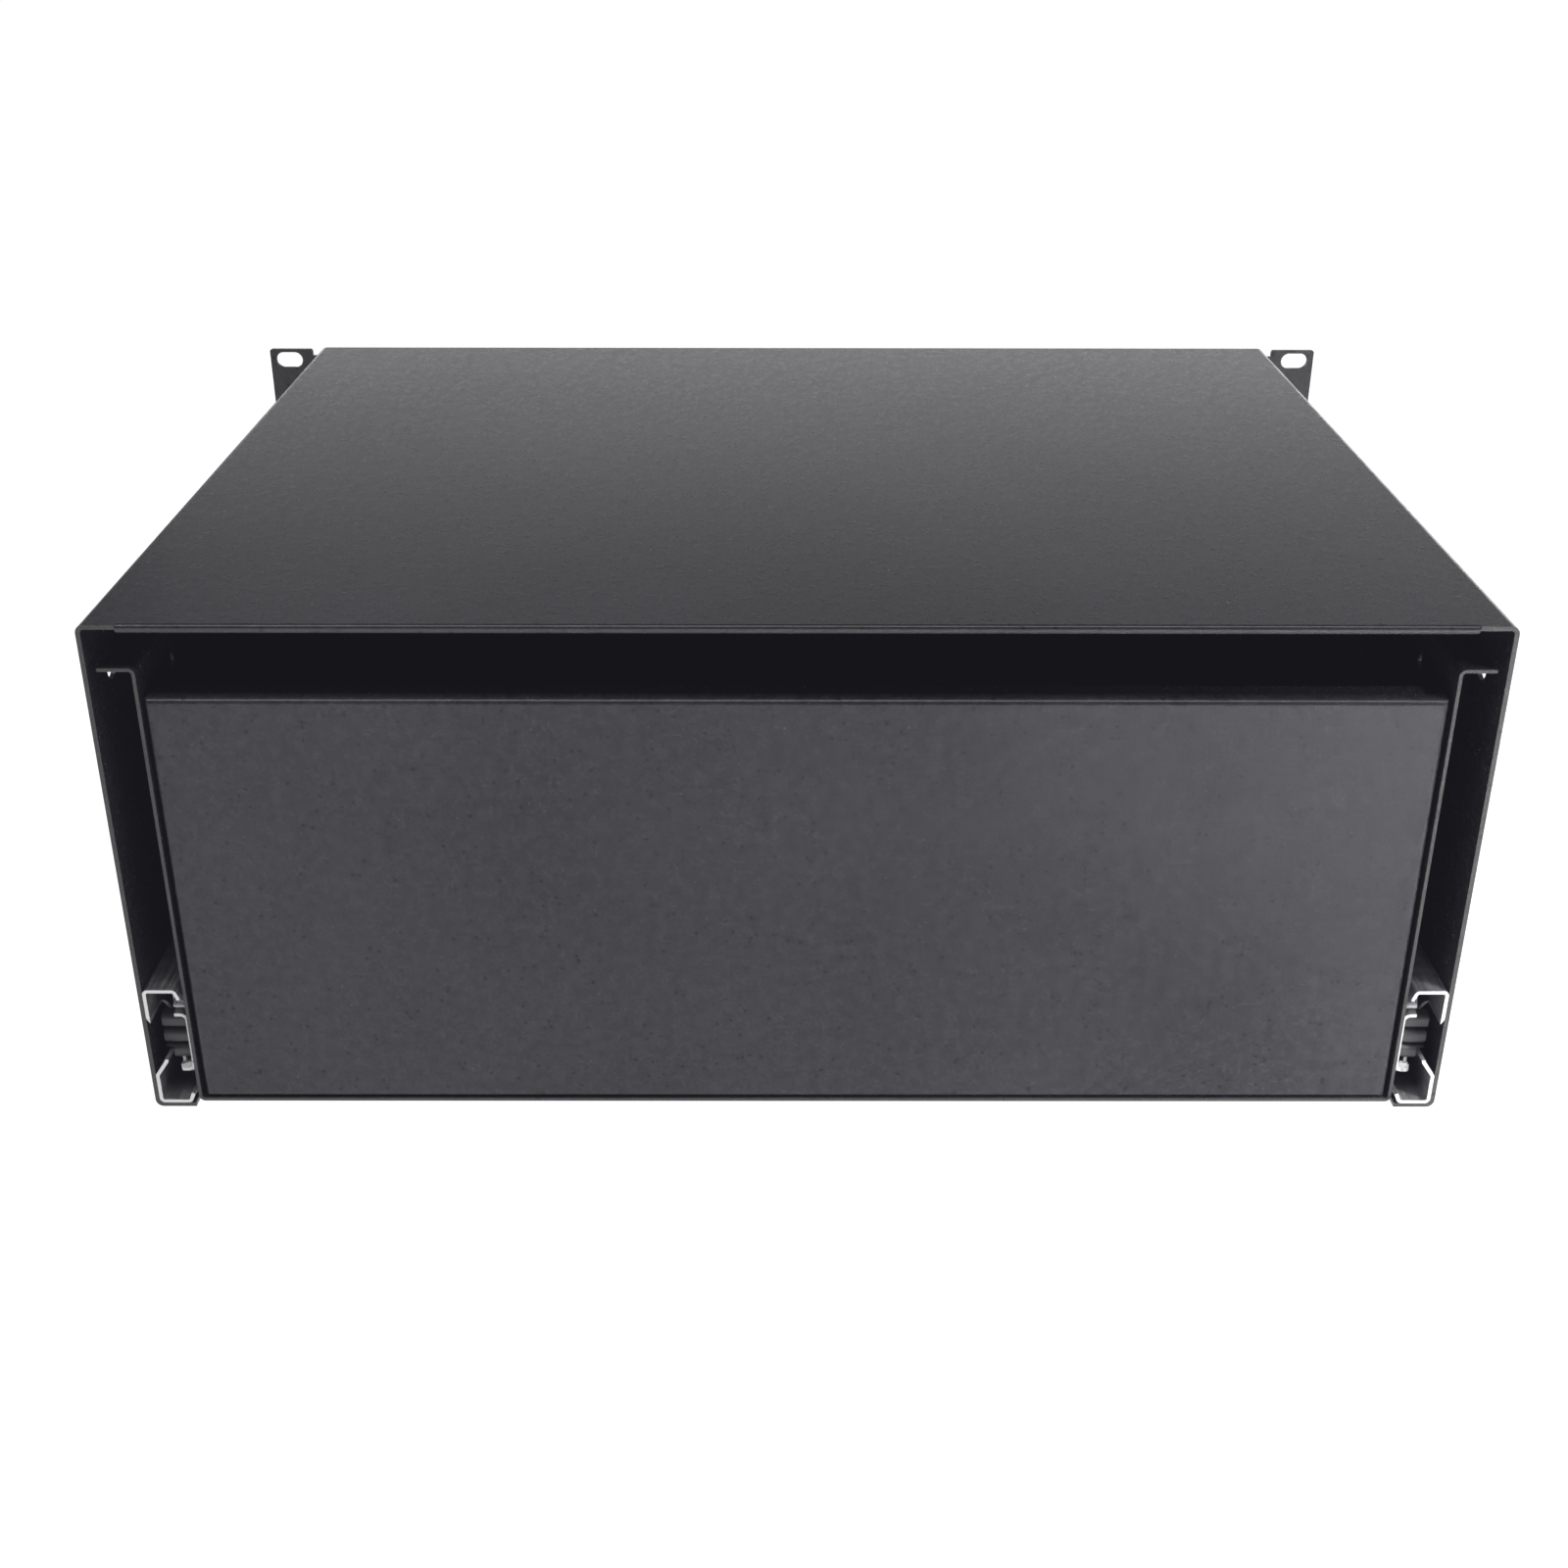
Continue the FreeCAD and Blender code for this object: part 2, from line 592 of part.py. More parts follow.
def ear(body, side):
    """One rack ear: the bend, then the plate with its two slots."""
    plate = "half + ear_notch"
    bend = [(plate, "0"), ("half", "0"), ("half", "ear_notch_depth")]
    if side < 0:
        bend = [("-(%s)" % x, y) for x, y in reversed(bend)]
    level = "top - ear_notch"
    folded_bar(body, "XY", "-(%s)" % level, level, bend, "sleeve_sheet", "sleeve_bend")
    ends = ["%d * (%s)" % (side, x) for x in (plate, "rack_width / 2")]
    low, high = ends if side > 0 else ends[::-1]
    edge = "top - ear_drop"
    sketch = new_sketch(body, "XZ", "-sleeve_sheet")
    outline(sketch, rectangle(low, high, "-(%s)" % edge, edge, "ear_corner"))
    for row in (-1, 1):
        centre = ("%d * slot_x" % side, "%d * slot_z" % row)
        slot(sketch, *centre, "slot_half_gap", "slot_width")
    pad(body, sketch, "sleeve_sheet")


def hem(body):
    """The closed hem along the back edge of the top."""
    under = "top - 2 * sleeve_sheet"
    start = "body_depth - hem_depth"
    skew = "hem_half - hem_depth"
    corners = [("-hem_half", "body_depth"), ("-(%s)" % skew, start), (skew, start)]
    pad_outline(body, "XY", under, "top - sleeve_sheet", corners + [("hem_half", "body_depth")])
    ahead = "body_depth - 2 * sleeve_sheet"
    behind = "body_depth + sleeve_sheet"
    below, above = under + " - sleeve_sheet", "top + sleeve_sheet"
    nose = [("body_depth", "top", "hem_round"), ("body_depth", under, "hem_round")]
    room = [(ahead, under), (ahead, below), (behind, below), (behind, above), (ahead, above)]
    cut_outline(body, "YZ", "-hem_half", "hem_half", nose + room + [(ahead, "top")])


def housing_shell(name):
    """The sleeve: top, sides, bottom flanges, rack ears and hem."""
    body = new_body(name)
    path = [("half", "bottom"), ("half", "top"), ("-half", "top"), ("-half", "bottom")]
    path = [("foot_end", "bottom")] + path + [("-foot_end", "bottom")]
    front = "-sleeve_sheet"
    folded_bar(body, "XZ", front, "body_depth", path, "sleeve_sheet", "sleeve_bend")
    corner = "top - sleeve_sheet - sleeve_bend"
    clear = rectangle("-2 * sleeve_sheet", "ear_notch_depth", "-(%s)" % corner, corner)
    cut_outline(body, "YZ", "-2 * half", "2 * half", clear)
    for label, side in SIDES:
        ear(body, side)
    hem(body)
    holes = [("body_depth - hang_hole_back", "top - hang_hole_drop", "hang_hole")]
    holes += [(y, z, "mount_screw + hole_play") for y, z in screw_rows()]
    bore_through(body, "YZ", holes)
    return body


def lock_strike(name):
    """A small folded bracket that the lock's cam hooks behind."""
    body = new_body(name)
    ceiling = "top - sleeve_sheet"
    path = [("strike_front + strike_leg", ceiling), ("strike_front", ceiling)]
    path.append(("strike_front", ceiling + " - strike_hang"))
    edge = "strike_width / 2"
    folded_bar(body, "YZ", "-" + edge, edge, path, "strike_sheet", "slide_bend")
    return body


# ---------------------------------------------------------------- slides


def web_slots(body, indices):
    """A row of oblong holes through the web of a slide member."""
    sketch = new_sketch(body, "YZ")
    gap = "(web_slot_length - web_slot_width) / 2"
    for index in indices:
        y = "web_slot_front + %d * web_slot_pitch" % index
        slot(sketch, y, "slide_mid", gap, "web_slot_width")
    cut(body, sketch)


def slide_outer(name):
    """The outer slide member, screwed to the sleeve."""
    body = new_body(name)
    upper = [
        ("outer_lip_reach", "slide_half - outer_lip_drop"),
        ("outer_flange", "slide_half"),
        ("0", "slide_half"),
        ("0", "rib_foot"),
        ("rib_inset", "rib_half"),
    ]
    lower = [(u, "-(%s)" % w) for u, w in reversed(upper)]
    path = [(reach(u), rail(w)) for u, w in upper + lower]
    folded_bar(body, "XZ", "slide_front", "body_depth", path, "slide_sheet", "slide_bend")
    start = "body_depth - notch_depth"
    past = "body_depth + notch_depth"
    notch = [(start, rail("-notch_low"), "notch_round"), (past, rail("-notch_low"))]
    notch += [(past, rail("notch_high")), (start, rail("notch_high"), "notch_round")]
    cut_outline(body, "YZ", reach("slide_sheet"), reach("slide_gap"), notch)
    holes = [(y, z, "mount_screw + thread_play") for y, z in screw_rows()]
    cut_circles(body, "YZ", reach("-sleeve_sheet"), reach("2 * slide_sheet"), holes)
    web_slots(body, (0, 1, 2))
    return body


def slide_middle(name):
    """The middle slide member, which runs out half as far as the drawer."""
    body = new_body(name)
    upper = [
        ("middle_lip_reach", "middle_half - middle_lip_drop"),
        ("middle_flange", "middle_half"),
        ("middle_web", "middle_half"),
    ]
    lower = [(u, "-(%s)" % w) for u, w in reversed(upper)]
    path = [(reach(u), rail(w)) for u, w in upper + lower]
    folded_bar(body, "XZ", "middle_front", "middle_back", path, "slide_sheet", "slide_bend")
    web_slots(body, (0, 1, 2))
    return body


def slide_inner(name):
    """The inner slide member on the drawer, with the pivot of its release lever."""
    body = new_body(name)
    path = [("inner_tip", "-inner_half"), ("slide_gap", "-inner_half")]
    path += [("slide_gap", "inner_half"), ("inner_tip", "inner_half")]
    path = [(reach(u), rail(w)) for u, w in path]
    end = "body_depth - inner_back"
    folded_bar(body, "XZ", "slide_front", end, path, "slide_sheet", "inner_bend")
    cap_top = "lever_base - lever_thick - lever_gap"
    cap = "%s - pivot_head_thick" % cap_top
    pivot = [("pivot_y", "slide_mid", "pivot_pin")]
    pad_circles(body, "YZ", reach(cap), reach("slide_gap"), pivot)
    pad_circles(body, "YZ", reach(cap), reach(cap_top), [pivot[0][:2] + ("pivot_head",)])
    holes = [(y, z, "mount_screw + thread_play") for y, z in tray_screw_places()]
    bore_through(body, "YZ", holes)
    web_slots(body, (1, 2))
    return body


def cage(name, front, web, tip, half, ball, ball_reach):
    """A ball cage: a thin channel with a row of holes in each flange."""
    body = new_body(name)
    edge = "(%s) + cage_sheet / 2" % half
    path = [(tip, edge), (web, edge), (web, "-(%s)" % edge), (tip, "-(%s)" % edge)]
    path = [(reach(u), rail(w)) for u, w in path]
    end = "%s + cage_length" % front
    folded_bar(body, "XZ", front, end, path, "cage_sheet", "cage_bend")
    size = "%s + 2 * ball_play" % ball
    holes = [(reach(ball_reach), y, size) for y in ball_rows(front)]
    bore_through(body, "XY", holes)
    return body


def ball_rows(front):
    for index in range(int(value("ball_count"))):
        yield "%s + cage_margin + %d * ball_pitch" % (front, index)


def balls(name, front, half, ball, ball_reach):
    """The two rows of balls in one cage."""
    spheres = []
    for row in (-1, 1):
        for y in ball_rows(front):
            sphere = doc.addObject("Part::Sphere", name + "_ball")
            bind(sphere, "Radius", "%s / 2" % ball)
            bind(sphere, "Placement.Base.x", reach(ball_reach))
            bind(sphere, "Placement.Base.y", y)
            bind(sphere, "Placement.Base.z", rail("%d * %s" % (row, half)))
            spheres.append(sphere)
    return grouped(name, spheres)


def grouped(name, members):
    group = doc.addObject("Part::Compound", name)
    group.Label = name
    group.Links = members
    return group


def outer_ball_cage(name):
    sizes = ("outer_cage_web", "outer_cage_tip", "outer_ball_half")
    return cage(name, "outer_cage_front", *sizes, "outer_ball", "outer_ball_reach")


def inner_ball_cage(name):
    sizes = ("inner_cage_web", "inner_cage_tip", "inner_ball_half")
    return cage(name, "inner_cage_front", *sizes, "inner_ball", "inner_ball_reach")


def outer_balls(name):
    return balls(name, "outer_cage_front", "outer_ball_half", "outer_ball", "outer_ball_reach")


def inner_balls(name):
    return balls(name, "inner_cage_front", "inner_ball_half", "inner_ball", "inner_ball_reach")


def rear_bumper(name):
    """The plastic stop at the back end of a slide: three ribs, with a foot through the web."""
    body = new_body(name)
    back = "body_depth - bumper_back"
    base = "rib_inset + slide_sheet"
    near, far = reach("bumper_foot"), reach("bumper_reach")
    low, high = rail("-bumper_low"), rail("bumper_height - bumper_low")
    root = "%s - groove_depth" % back
    pad_outline(body, "YZ", near, far, rectangle("bumper_front", root, low, high))
    for index in range(BUMPER_RIBS):
        foot = "-bumper_low + %d * (bumper_rib + bumper_groove)" % index
        under, over = rail(foot), rail(foot + " + bumper_rib")
        rib = [("bumper_front", under), (back, under, "bumper_round")]
        rib += [(back, over, "bumper_round"), ("bumper_front", over)]
        pad_outline(body, "YZ", near, far, rib)
    below = rectangle(reach("0"), reach(base), rail("-2 * bumper_low"), rail("foot_play - notch_low"))
    cut_outline(body, "XZ", "bumper_front - foot_play", "body_depth", below)
    return body


def release_lever(name):
    """The flat lever that lets the drawer's slide member out of the middle one."""
    body = new_body(name)
    back = "lever_front + lever_length"
    low, high = rail("-lever_width / 2"), rail("lever_width / 2")
    tab_end = "lever_front + lever_tab_length"
    tab_top = rail("lever_width / 2 + lever_tab")
    corners = [("lever_front", low, "lever_thick"), (back, low, "lever_thick")]
    corners += [(back, high, "lever_thick"), (tab_end, high, "lever_gap")]
    corners += [(tab_end, tab_top, "lever_tab / 3"), ("lever_front", tab_top, "lever_tab / 3")]
    level = reach("lever_base - lever_thick")
    pad_outline(body, "YZ", level, reach("lever_base"), corners)
    bore_through(body, "YZ", [("pivot_y", "slide_mid", "pivot_pin + pivot_play")])
    return body


# ---------------------------------------------------------------- drawer


def drawer_tray(name):
    """The drawer's floor and sides, with a flange turned out along each top edge."""
    body = new_body(name)
    under = "tray_top - tray_sheet"
    right = [("tray_half", "tray_low"), ("tray_half", under), ("tray_half + tray_flange", under)]
    left = [("-(%s)" % x, z) for x, z in reversed(right)]
    path = left + right
    folded_bar(body, "XZ", "-tray_front", "tray_rear", path, "tray_sheet", "tray_bend")
    holes = new_sketch(body, "YZ")
    gap = "(tray_hole_length - tray_hole_width) / 2"
    slot(holes, "body_depth - tray_hole_back", "top - tray_hole_drop", gap, "tray_hole_width")
    for y, z in tray_screw_places():
        circle(holes, y, z, "mount_screw + hole_play")
    cut(body, holes)
    return body


def pan_wall(name, face, inward, drop):
    """A wall like a shallow pan: a face with a return along each of its four edges."""
    body = new_body(name)
    edge = "tray_inner - wall_gap"
    low = "tray_low + tray_sheet"
    high = "top - %s" % drop
    deep = "%s %s wall_return" % (face, inward)
    floor = "%s %s tray_sheet" % (face, inward)
    outer = ("-(%s)" % edge, edge, low, high)
    inner = [x + t for x, t in zip(outer, (" + tray_sheet", " - tray_sheet") * 2)]
    toward = slice(None, None, -1 if inward == "-" else 1)
    block = pad_outline(body, "XZ", *(face, deep)[toward], rectangle(*outer))
    round_rim(body, block, face, "wall_bend + tray_sheet")
    hollow = cut_outline(body, "XZ", *(floor, deep)[toward], rectangle(*inner))
    round_rim(body, hollow, floor, "wall_bend")
    return body


def drawer_back(name):
    return pan_wall(name, "tray_rear - back_inset", "-", "back_drop")


def handle_screw_places():
    for label, side in SIDES:
        for row in (-1, 1):
            yield "%d * handle_x" % side, "%d * handle_z" % row


def front_holes():
    """The holes that go through the front panel and the wall behind it."""
    holes = [(x, z, "handle_screw + hole_play") for x, z in handle_screw_places()]
    return holes + [("0", "lock_z", "lock_thread + lock_hole_play")]


def drawer_inner_front(name):
    body = pan_wall(name, "-tray_front", "+", "front_drop")
    bore_through(body, "XZ", front_holes())
    return body


def front_panel(name):
    body = new_body(name)
    sketch = new_sketch(body, "XZ", "front_face")
    corners = rectangle("-half", "half", "bottom + panel_inset", "top - panel_inset", "panel_corner")
    outline(sketch, corners)
    for x, z, diameter in front_holes():
        circle(sketch, x, z, diameter)
    pad(body, sketch, "panel_thick")
    return body


def handle(name):
    """A bow handle on two round feet, screwed on from inside the drawer."""
    body = new_body(name)
    ahead = "front_face - handle_reach + handle_bar / 2"
    ends = ["%d * handle_z" % row for row in (-1, 1)]
    path = [("front_face", ends[0]), (ahead, ends[0]), (ahead, ends[1]), ("front_face", ends[1])]
    spine = new_sketch(body, "YZ", "-handle_x")
    points = [Vector(value(x), value(y), 0) for x, y in path]
    bend = value("handle_bend")
    lines, arcs = run(spine, points, [None, bend, bend, None], False)
    pin_corners(spine, path, lines, arcs, False)
    for i in arcs:
        tie(spine, "Radius", (arcs[i][0],), "handle_bend")
    ring = new_sketch(body, "XZ", "front_face")
    circle(ring, "-handle_x", ends[0], "handle_bar")
    bow = body.newObject("PartDesign::AdditivePipe", name + "_bow")
    bow.Profile = ring
    bow.Spine = spine
    feet = [("-handle_x", z, "foot_disc") for z in ends]
    pad_circles(body, "XZ", "front_face - foot_thick", "front_face", feet)
    bores = [("-handle_x", z, "handle_screw + thread_play") for z in ends]
    cut_circles(body, "XZ", "front_face - handle_bore_depth", "front_face", bores)
    return body


# ---------------------------------------------------------------- lock


def lock_barrel(name):
    body = new_body(name)
    pad_circles(body, "XZ", "rim_face", "front_face", [("0", "lock_z", "lock_thread + 2 * rim_lip")])
    pad_circles(body, "XZ", "front_face", "barrel_end", [("0", "lock_z", "lock_thread")])
    bore_through(body, "XZ", [("0", "lock_z", "plug_disc + plug_play")])
    return body


def lock_nut(name):
    """A thin hexagon nut with flats above and below."""
    body = new_body(name)
    sketch = new_sketch(body, "XZ", "inner_face")
    corner = "(lock_thread + 2 * nut_wall) / sqrt(3)"
    corners = []
    for index in range(NUT_SIDES):
        turn = "%d * 360 deg / %d" % (index, NUT_SIDES)
        x = "(%s) * cos(%s)" % (corner, turn)
        z = "lock_z + (%s) * sin(%s)" % (corner, turn)
        corners.append((x, z))
    outline(sketch, corners)
    circle(sketch, "0", "lock_z", "lock_thread + thread_play")
    pad(body, sketch, "nut_thick")
    return body


def lock_plug(name):
    """The turning plug: keyway in front, square tail for the cam behind."""
    body = new_body(name)
    pad_circles(body, "XZ", "rim_face", "barrel_end", [("0", "lock_z", "plug_disc")])
    edge = "plug_tail / 2"
    tail = rectangle("-" + edge, edge, "lock_z - " + edge, "lock_z + " + edge)
    pad_outline(body, "XZ", "barrel_end", "cam_back", tail)
    width = "key_thick / 2 + keyway_play"
    tall = "key_blade / 2 + keyway_play"
    way = rectangle("-(%s)" % width, width, "lock_z - (%s)" % tall, "lock_z + %s" % tall)
    cut_outline(body, "XZ", "rim_face", "rim_face + key_depth", way)
    bore = [("0", "lock_z", "cam_screw + thread_play")]
    cut_circles(body, "XZ", "cam_back - cam_screw_grip - keyway_play", "cam_back", bore)
    return body


def key(name):
    """A plain key: a round bow and a flat blade."""
    body = new_body(name)
    side = "key_thick / 2"
    bow = "rim_face - key_bow_out"
    tip = "rim_face + key_depth"
    edge = "key_blade / 2"
    pad_circles(body, "YZ", "-" + side, side, [(bow, "lock_z", "key_bow")])
    blade = [(bow, "lock_z - " + edge), (tip, "lock_z - " + edge, "key_thick")]
    blade += [(tip, "lock_z + " + edge, "key_thick"), (bow, "lock_z + " + edge)]
    pad_outline(body, "YZ", "-" + side, side, blade)
    bore_through(body, "YZ", [("%s - key_hole_shift" % bow, "lock_z", "key_hole")])
    return body


def lock_cam(name):
    """The cam: a flat tongue on the plug's square tail, pointing left when unlocked."""
    body = new_body(name)
    edge = "cam_width / 2"
    low, high = "lock_z - " + edge, "lock_z + " + edge
    tongue = [("-cam_length", low, "cam_thick"), (edge, low, "cam_width / 3")]
    tongue += [(edge, high, "cam_width / 3"), ("-cam_length", high, "cam_thick")]
    pad_outline(body, "XZ", "cam_front", "cam_back", tongue)
    hole = "(plug_tail + plug_play) / 2"
    square = rectangle("-" + hole, hole, "lock_z - " + hole, "lock_z + " + hole)
    cut_outline(body, "XZ", "cam_front - cam_gap", "cam_back + cam_gap", square)
    return body


# ---------------------------------------------------------------- screws


def screw(name, shank, grip, head, height):
    """A screw standing on the origin, head up, with a domed head and a cross recess."""
    body = new_body(name)
    section = new_sketch(body, "XZ")
    profile = [("0", "-(%s)" % grip), ("%s / 2" % shank, "-(%s)" % grip), ("%s / 2" % shank, "0")]
    profile += [("%s / 2" % head, "0"), ("%s / 2" % head, height, "%s * head_dome" % height)]
    outline(section, profile + [("0", height)])
    turned = body.newObject("PartDesign::Revolution", name + "_turned")
    turned.Profile = section
    turned.ReferenceAxis = (section, ["V_Axis"])
    turned.Angle = 360
    long, wide = "recess_length / 2", "recess_width / 2"
    floor = "%s - recess_depth" % height
    for across, along in ((long, wide), (wide, long)):
        arm = rectangle("-" + across, across, "-" + along, along)
        cut_outline(body, "XY", floor, "%s + recess_depth" % height, arm)
    return body


def placed_screws(name, master, places, outward):
    """Copies of one screw with their heads facing outward."""
    copies = []
    for x, y, z in places:
        copy = doc.addObject("App::Link", name + "_copy")
        copy.LinkedObject = master
        copy.Placement.Rotation = FreeCAD.Rotation(Vector(0, 0, 1), outward)
        bind(copy, "Placement.Base.x", x)
        bind(copy, "Placement.Base.y", y)
        bind(copy, "Placement.Base.z", z)
        copies.append(copy)
    return grouped(name, copies)


def all_screws():
    """Every set of screws, each made from one master."""
    sets = []
    through = "sleeve_sheet + slide_sheet + screw_tip"
    truss = screw("truss_screw", "mount_screw", through, "truss_head", "truss_height")
    through = "tray_sheet + slide_sheet + screw_tip"
    pan = screw("pan_screw", "mount_screw", through, "pan_head", "pan_height")
    for label, side in SIDES:
        places = [("%d * half" % side, y, z) for y, z in screw_rows()]
        outward = Vector(side, 0, 0)
        sets.append(placed_screws("housing_screws_" + label, truss, places, outward))
        places = [("%d * tray_inner" % side, y, z) for y, z in tray_screw_places()]
        sets.append(placed_screws("tray_screws_" + label, pan, places, outward * -1))
    sizes = ("handle_screw", "handle_screw_grip", "wide_pan_head", "wide_pan_height")
    wide = screw("wide_screw", *sizes)
    places = [(x, "inner_face", z) for x, z in handle_screw_places()]
    sets.append(placed_screws("handle_screws", wide, places, Vector(0, 1, 0)))
    sizes = ("cam_screw", "cam_screw_grip", "wide_pan_head", "wide_pan_height")
    single = screw("cam_screw_master", *sizes)
    places = [("0", "cam_back", "lock_z")]
    sets.append(placed_screws("cam_screw", single, places, Vector(0, 1, 0)))
    return sets


# ---------------------------------------------------------------- whole drawer


def build():
    """Every sub-part, in the order sleeve, slides, drawer, lock, screws."""
    parts = [housing_shell("housing_shell"), lock_strike("lock_strike")]
    parts += pair(slide_outer, "slide_outer")
    parts += pair(slide_middle, "slide_middle")
    parts += pair(slide_inner, "slide_inner")
    parts += pair(outer_ball_cage, "outer_cage")
    parts += pair(outer_balls, "outer_balls")
    parts += pair(inner_ball_cage, "inner_cage")
    parts += pair(inner_balls, "inner_balls")
    parts += pair(rear_bumper, "rear_bumper")
    parts += pair(release_lever, "release_lever")
    parts += [drawer_tray("drawer_tray"), drawer_back("drawer_back")]
    parts += [drawer_inner_front("drawer_inner_front"), front_panel("front_panel")]
    parts += pair(handle, "handle")
    parts += [lock_barrel("lock_barrel"), lock_nut("lock_nut"), lock_plug("lock_plug")]
    parts += [key("key"), lock_cam("lock_cam")]
    return parts + all_screws()


def find_faults(parts):
    """Objects with an error, and sub-parts whose shape is missing or invalid."""
    faults = [o.Name + ": " + ", ".join(o.State) for o in doc.Objects if is_bad(o)]
    for part in parts:
        if part.Shape.isNull() or not part.Shape.isValid():
            faults.append(part.Label + ": no valid shape")
    return faults


def is_bad(thing):
    return "Invalid" in thing.State or "Error" in thing.State


def write_parts(parts):
    """Writes each sub-part to its own STEP file."""
    os.makedirs("parts", exist_ok=True)
    for part in parts:
        part.Shape.exportStep("parts/" + part.Label + ".step")


def main():
    parts = build()
    doc.recompute()
    faults = find_faults(parts)
    if faults:
        raise RuntimeError("; ".join(faults))
    write_parts(parts)
    print("wrote %d parts" % len(parts))


main()
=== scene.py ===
"""Looks for a rack storage drawer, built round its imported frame.

Everything is in metres in the frame's own axes: +X right seen from the front, +Y back, +Z up.
Nodes with sharp edges are shown by eased copies, round ones are dressed as they are, and the
stamped ends of the slides are added.
"""

import json
import logging
import math
from abc import ABC, abstractmethod
from dataclasses import dataclass
from enum import Enum
from typing import Callable, Iterable, Sequence

import bpy
from bpy.types import Material, Node, NodeSocket, NodeTree, Object
from mathutils import Matrix, Vector

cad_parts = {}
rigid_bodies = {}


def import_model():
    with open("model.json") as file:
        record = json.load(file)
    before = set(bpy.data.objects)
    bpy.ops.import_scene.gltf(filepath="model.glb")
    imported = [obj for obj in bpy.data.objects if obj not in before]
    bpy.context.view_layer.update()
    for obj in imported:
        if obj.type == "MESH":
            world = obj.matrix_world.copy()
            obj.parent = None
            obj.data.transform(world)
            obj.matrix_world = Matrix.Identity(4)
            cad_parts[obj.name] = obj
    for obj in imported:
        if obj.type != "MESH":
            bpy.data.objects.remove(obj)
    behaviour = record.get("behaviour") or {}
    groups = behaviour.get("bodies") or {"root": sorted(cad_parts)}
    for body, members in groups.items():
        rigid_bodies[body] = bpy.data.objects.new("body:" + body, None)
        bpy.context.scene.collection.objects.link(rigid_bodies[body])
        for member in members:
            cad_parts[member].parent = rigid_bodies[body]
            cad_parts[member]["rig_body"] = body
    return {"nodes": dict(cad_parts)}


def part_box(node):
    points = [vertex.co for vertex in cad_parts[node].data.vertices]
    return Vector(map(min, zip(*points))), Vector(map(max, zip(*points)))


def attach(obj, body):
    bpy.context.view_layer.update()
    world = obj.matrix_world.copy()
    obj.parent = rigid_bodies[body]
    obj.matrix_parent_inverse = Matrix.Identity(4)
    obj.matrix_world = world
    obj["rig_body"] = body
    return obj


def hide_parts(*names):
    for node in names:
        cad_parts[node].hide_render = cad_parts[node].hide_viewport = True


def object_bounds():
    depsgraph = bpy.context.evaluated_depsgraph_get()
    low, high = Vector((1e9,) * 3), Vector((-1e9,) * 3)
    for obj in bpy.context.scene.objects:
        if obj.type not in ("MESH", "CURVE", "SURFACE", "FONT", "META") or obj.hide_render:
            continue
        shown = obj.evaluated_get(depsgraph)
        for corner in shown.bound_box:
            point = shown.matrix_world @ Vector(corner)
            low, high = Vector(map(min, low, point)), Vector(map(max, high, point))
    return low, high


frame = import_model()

CAD_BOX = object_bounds()
LOG = logging.getLogger("rack_drawer")
MM = 0.001
Colour = tuple[float, float, float, float]
Press = Callable[[Object], None]
PLAIN = (0.3, 0.7)
TIGHT = (0.35, 0.65)
NEAR = 0.1 * MM
TONGUE_SEED = 3
LUG_SEED = 7


class Side(Enum):
    """The two sides of the drawer, seen from the front."""

    LEFT = "left"
    RIGHT = "right"

    @property
    def sign(self) -> int:
        """The sign of this side's x."""
        return -1 if self is Side.LEFT else 1


def grey(level: float, blue: float = 0.0) -> Colour:
    """A neutral colour with a little more blue."""
    return (level, level, level * (1.0 + blue), 1.0)


def dimmed(colour: Colour, level: float) -> Colour:
    """A colour made darker."""
    red, green, blue, alpha = colour
    return (red * level, green * level, blue * level, alpha)


# ---------------------------------------------------------------- shader graphs


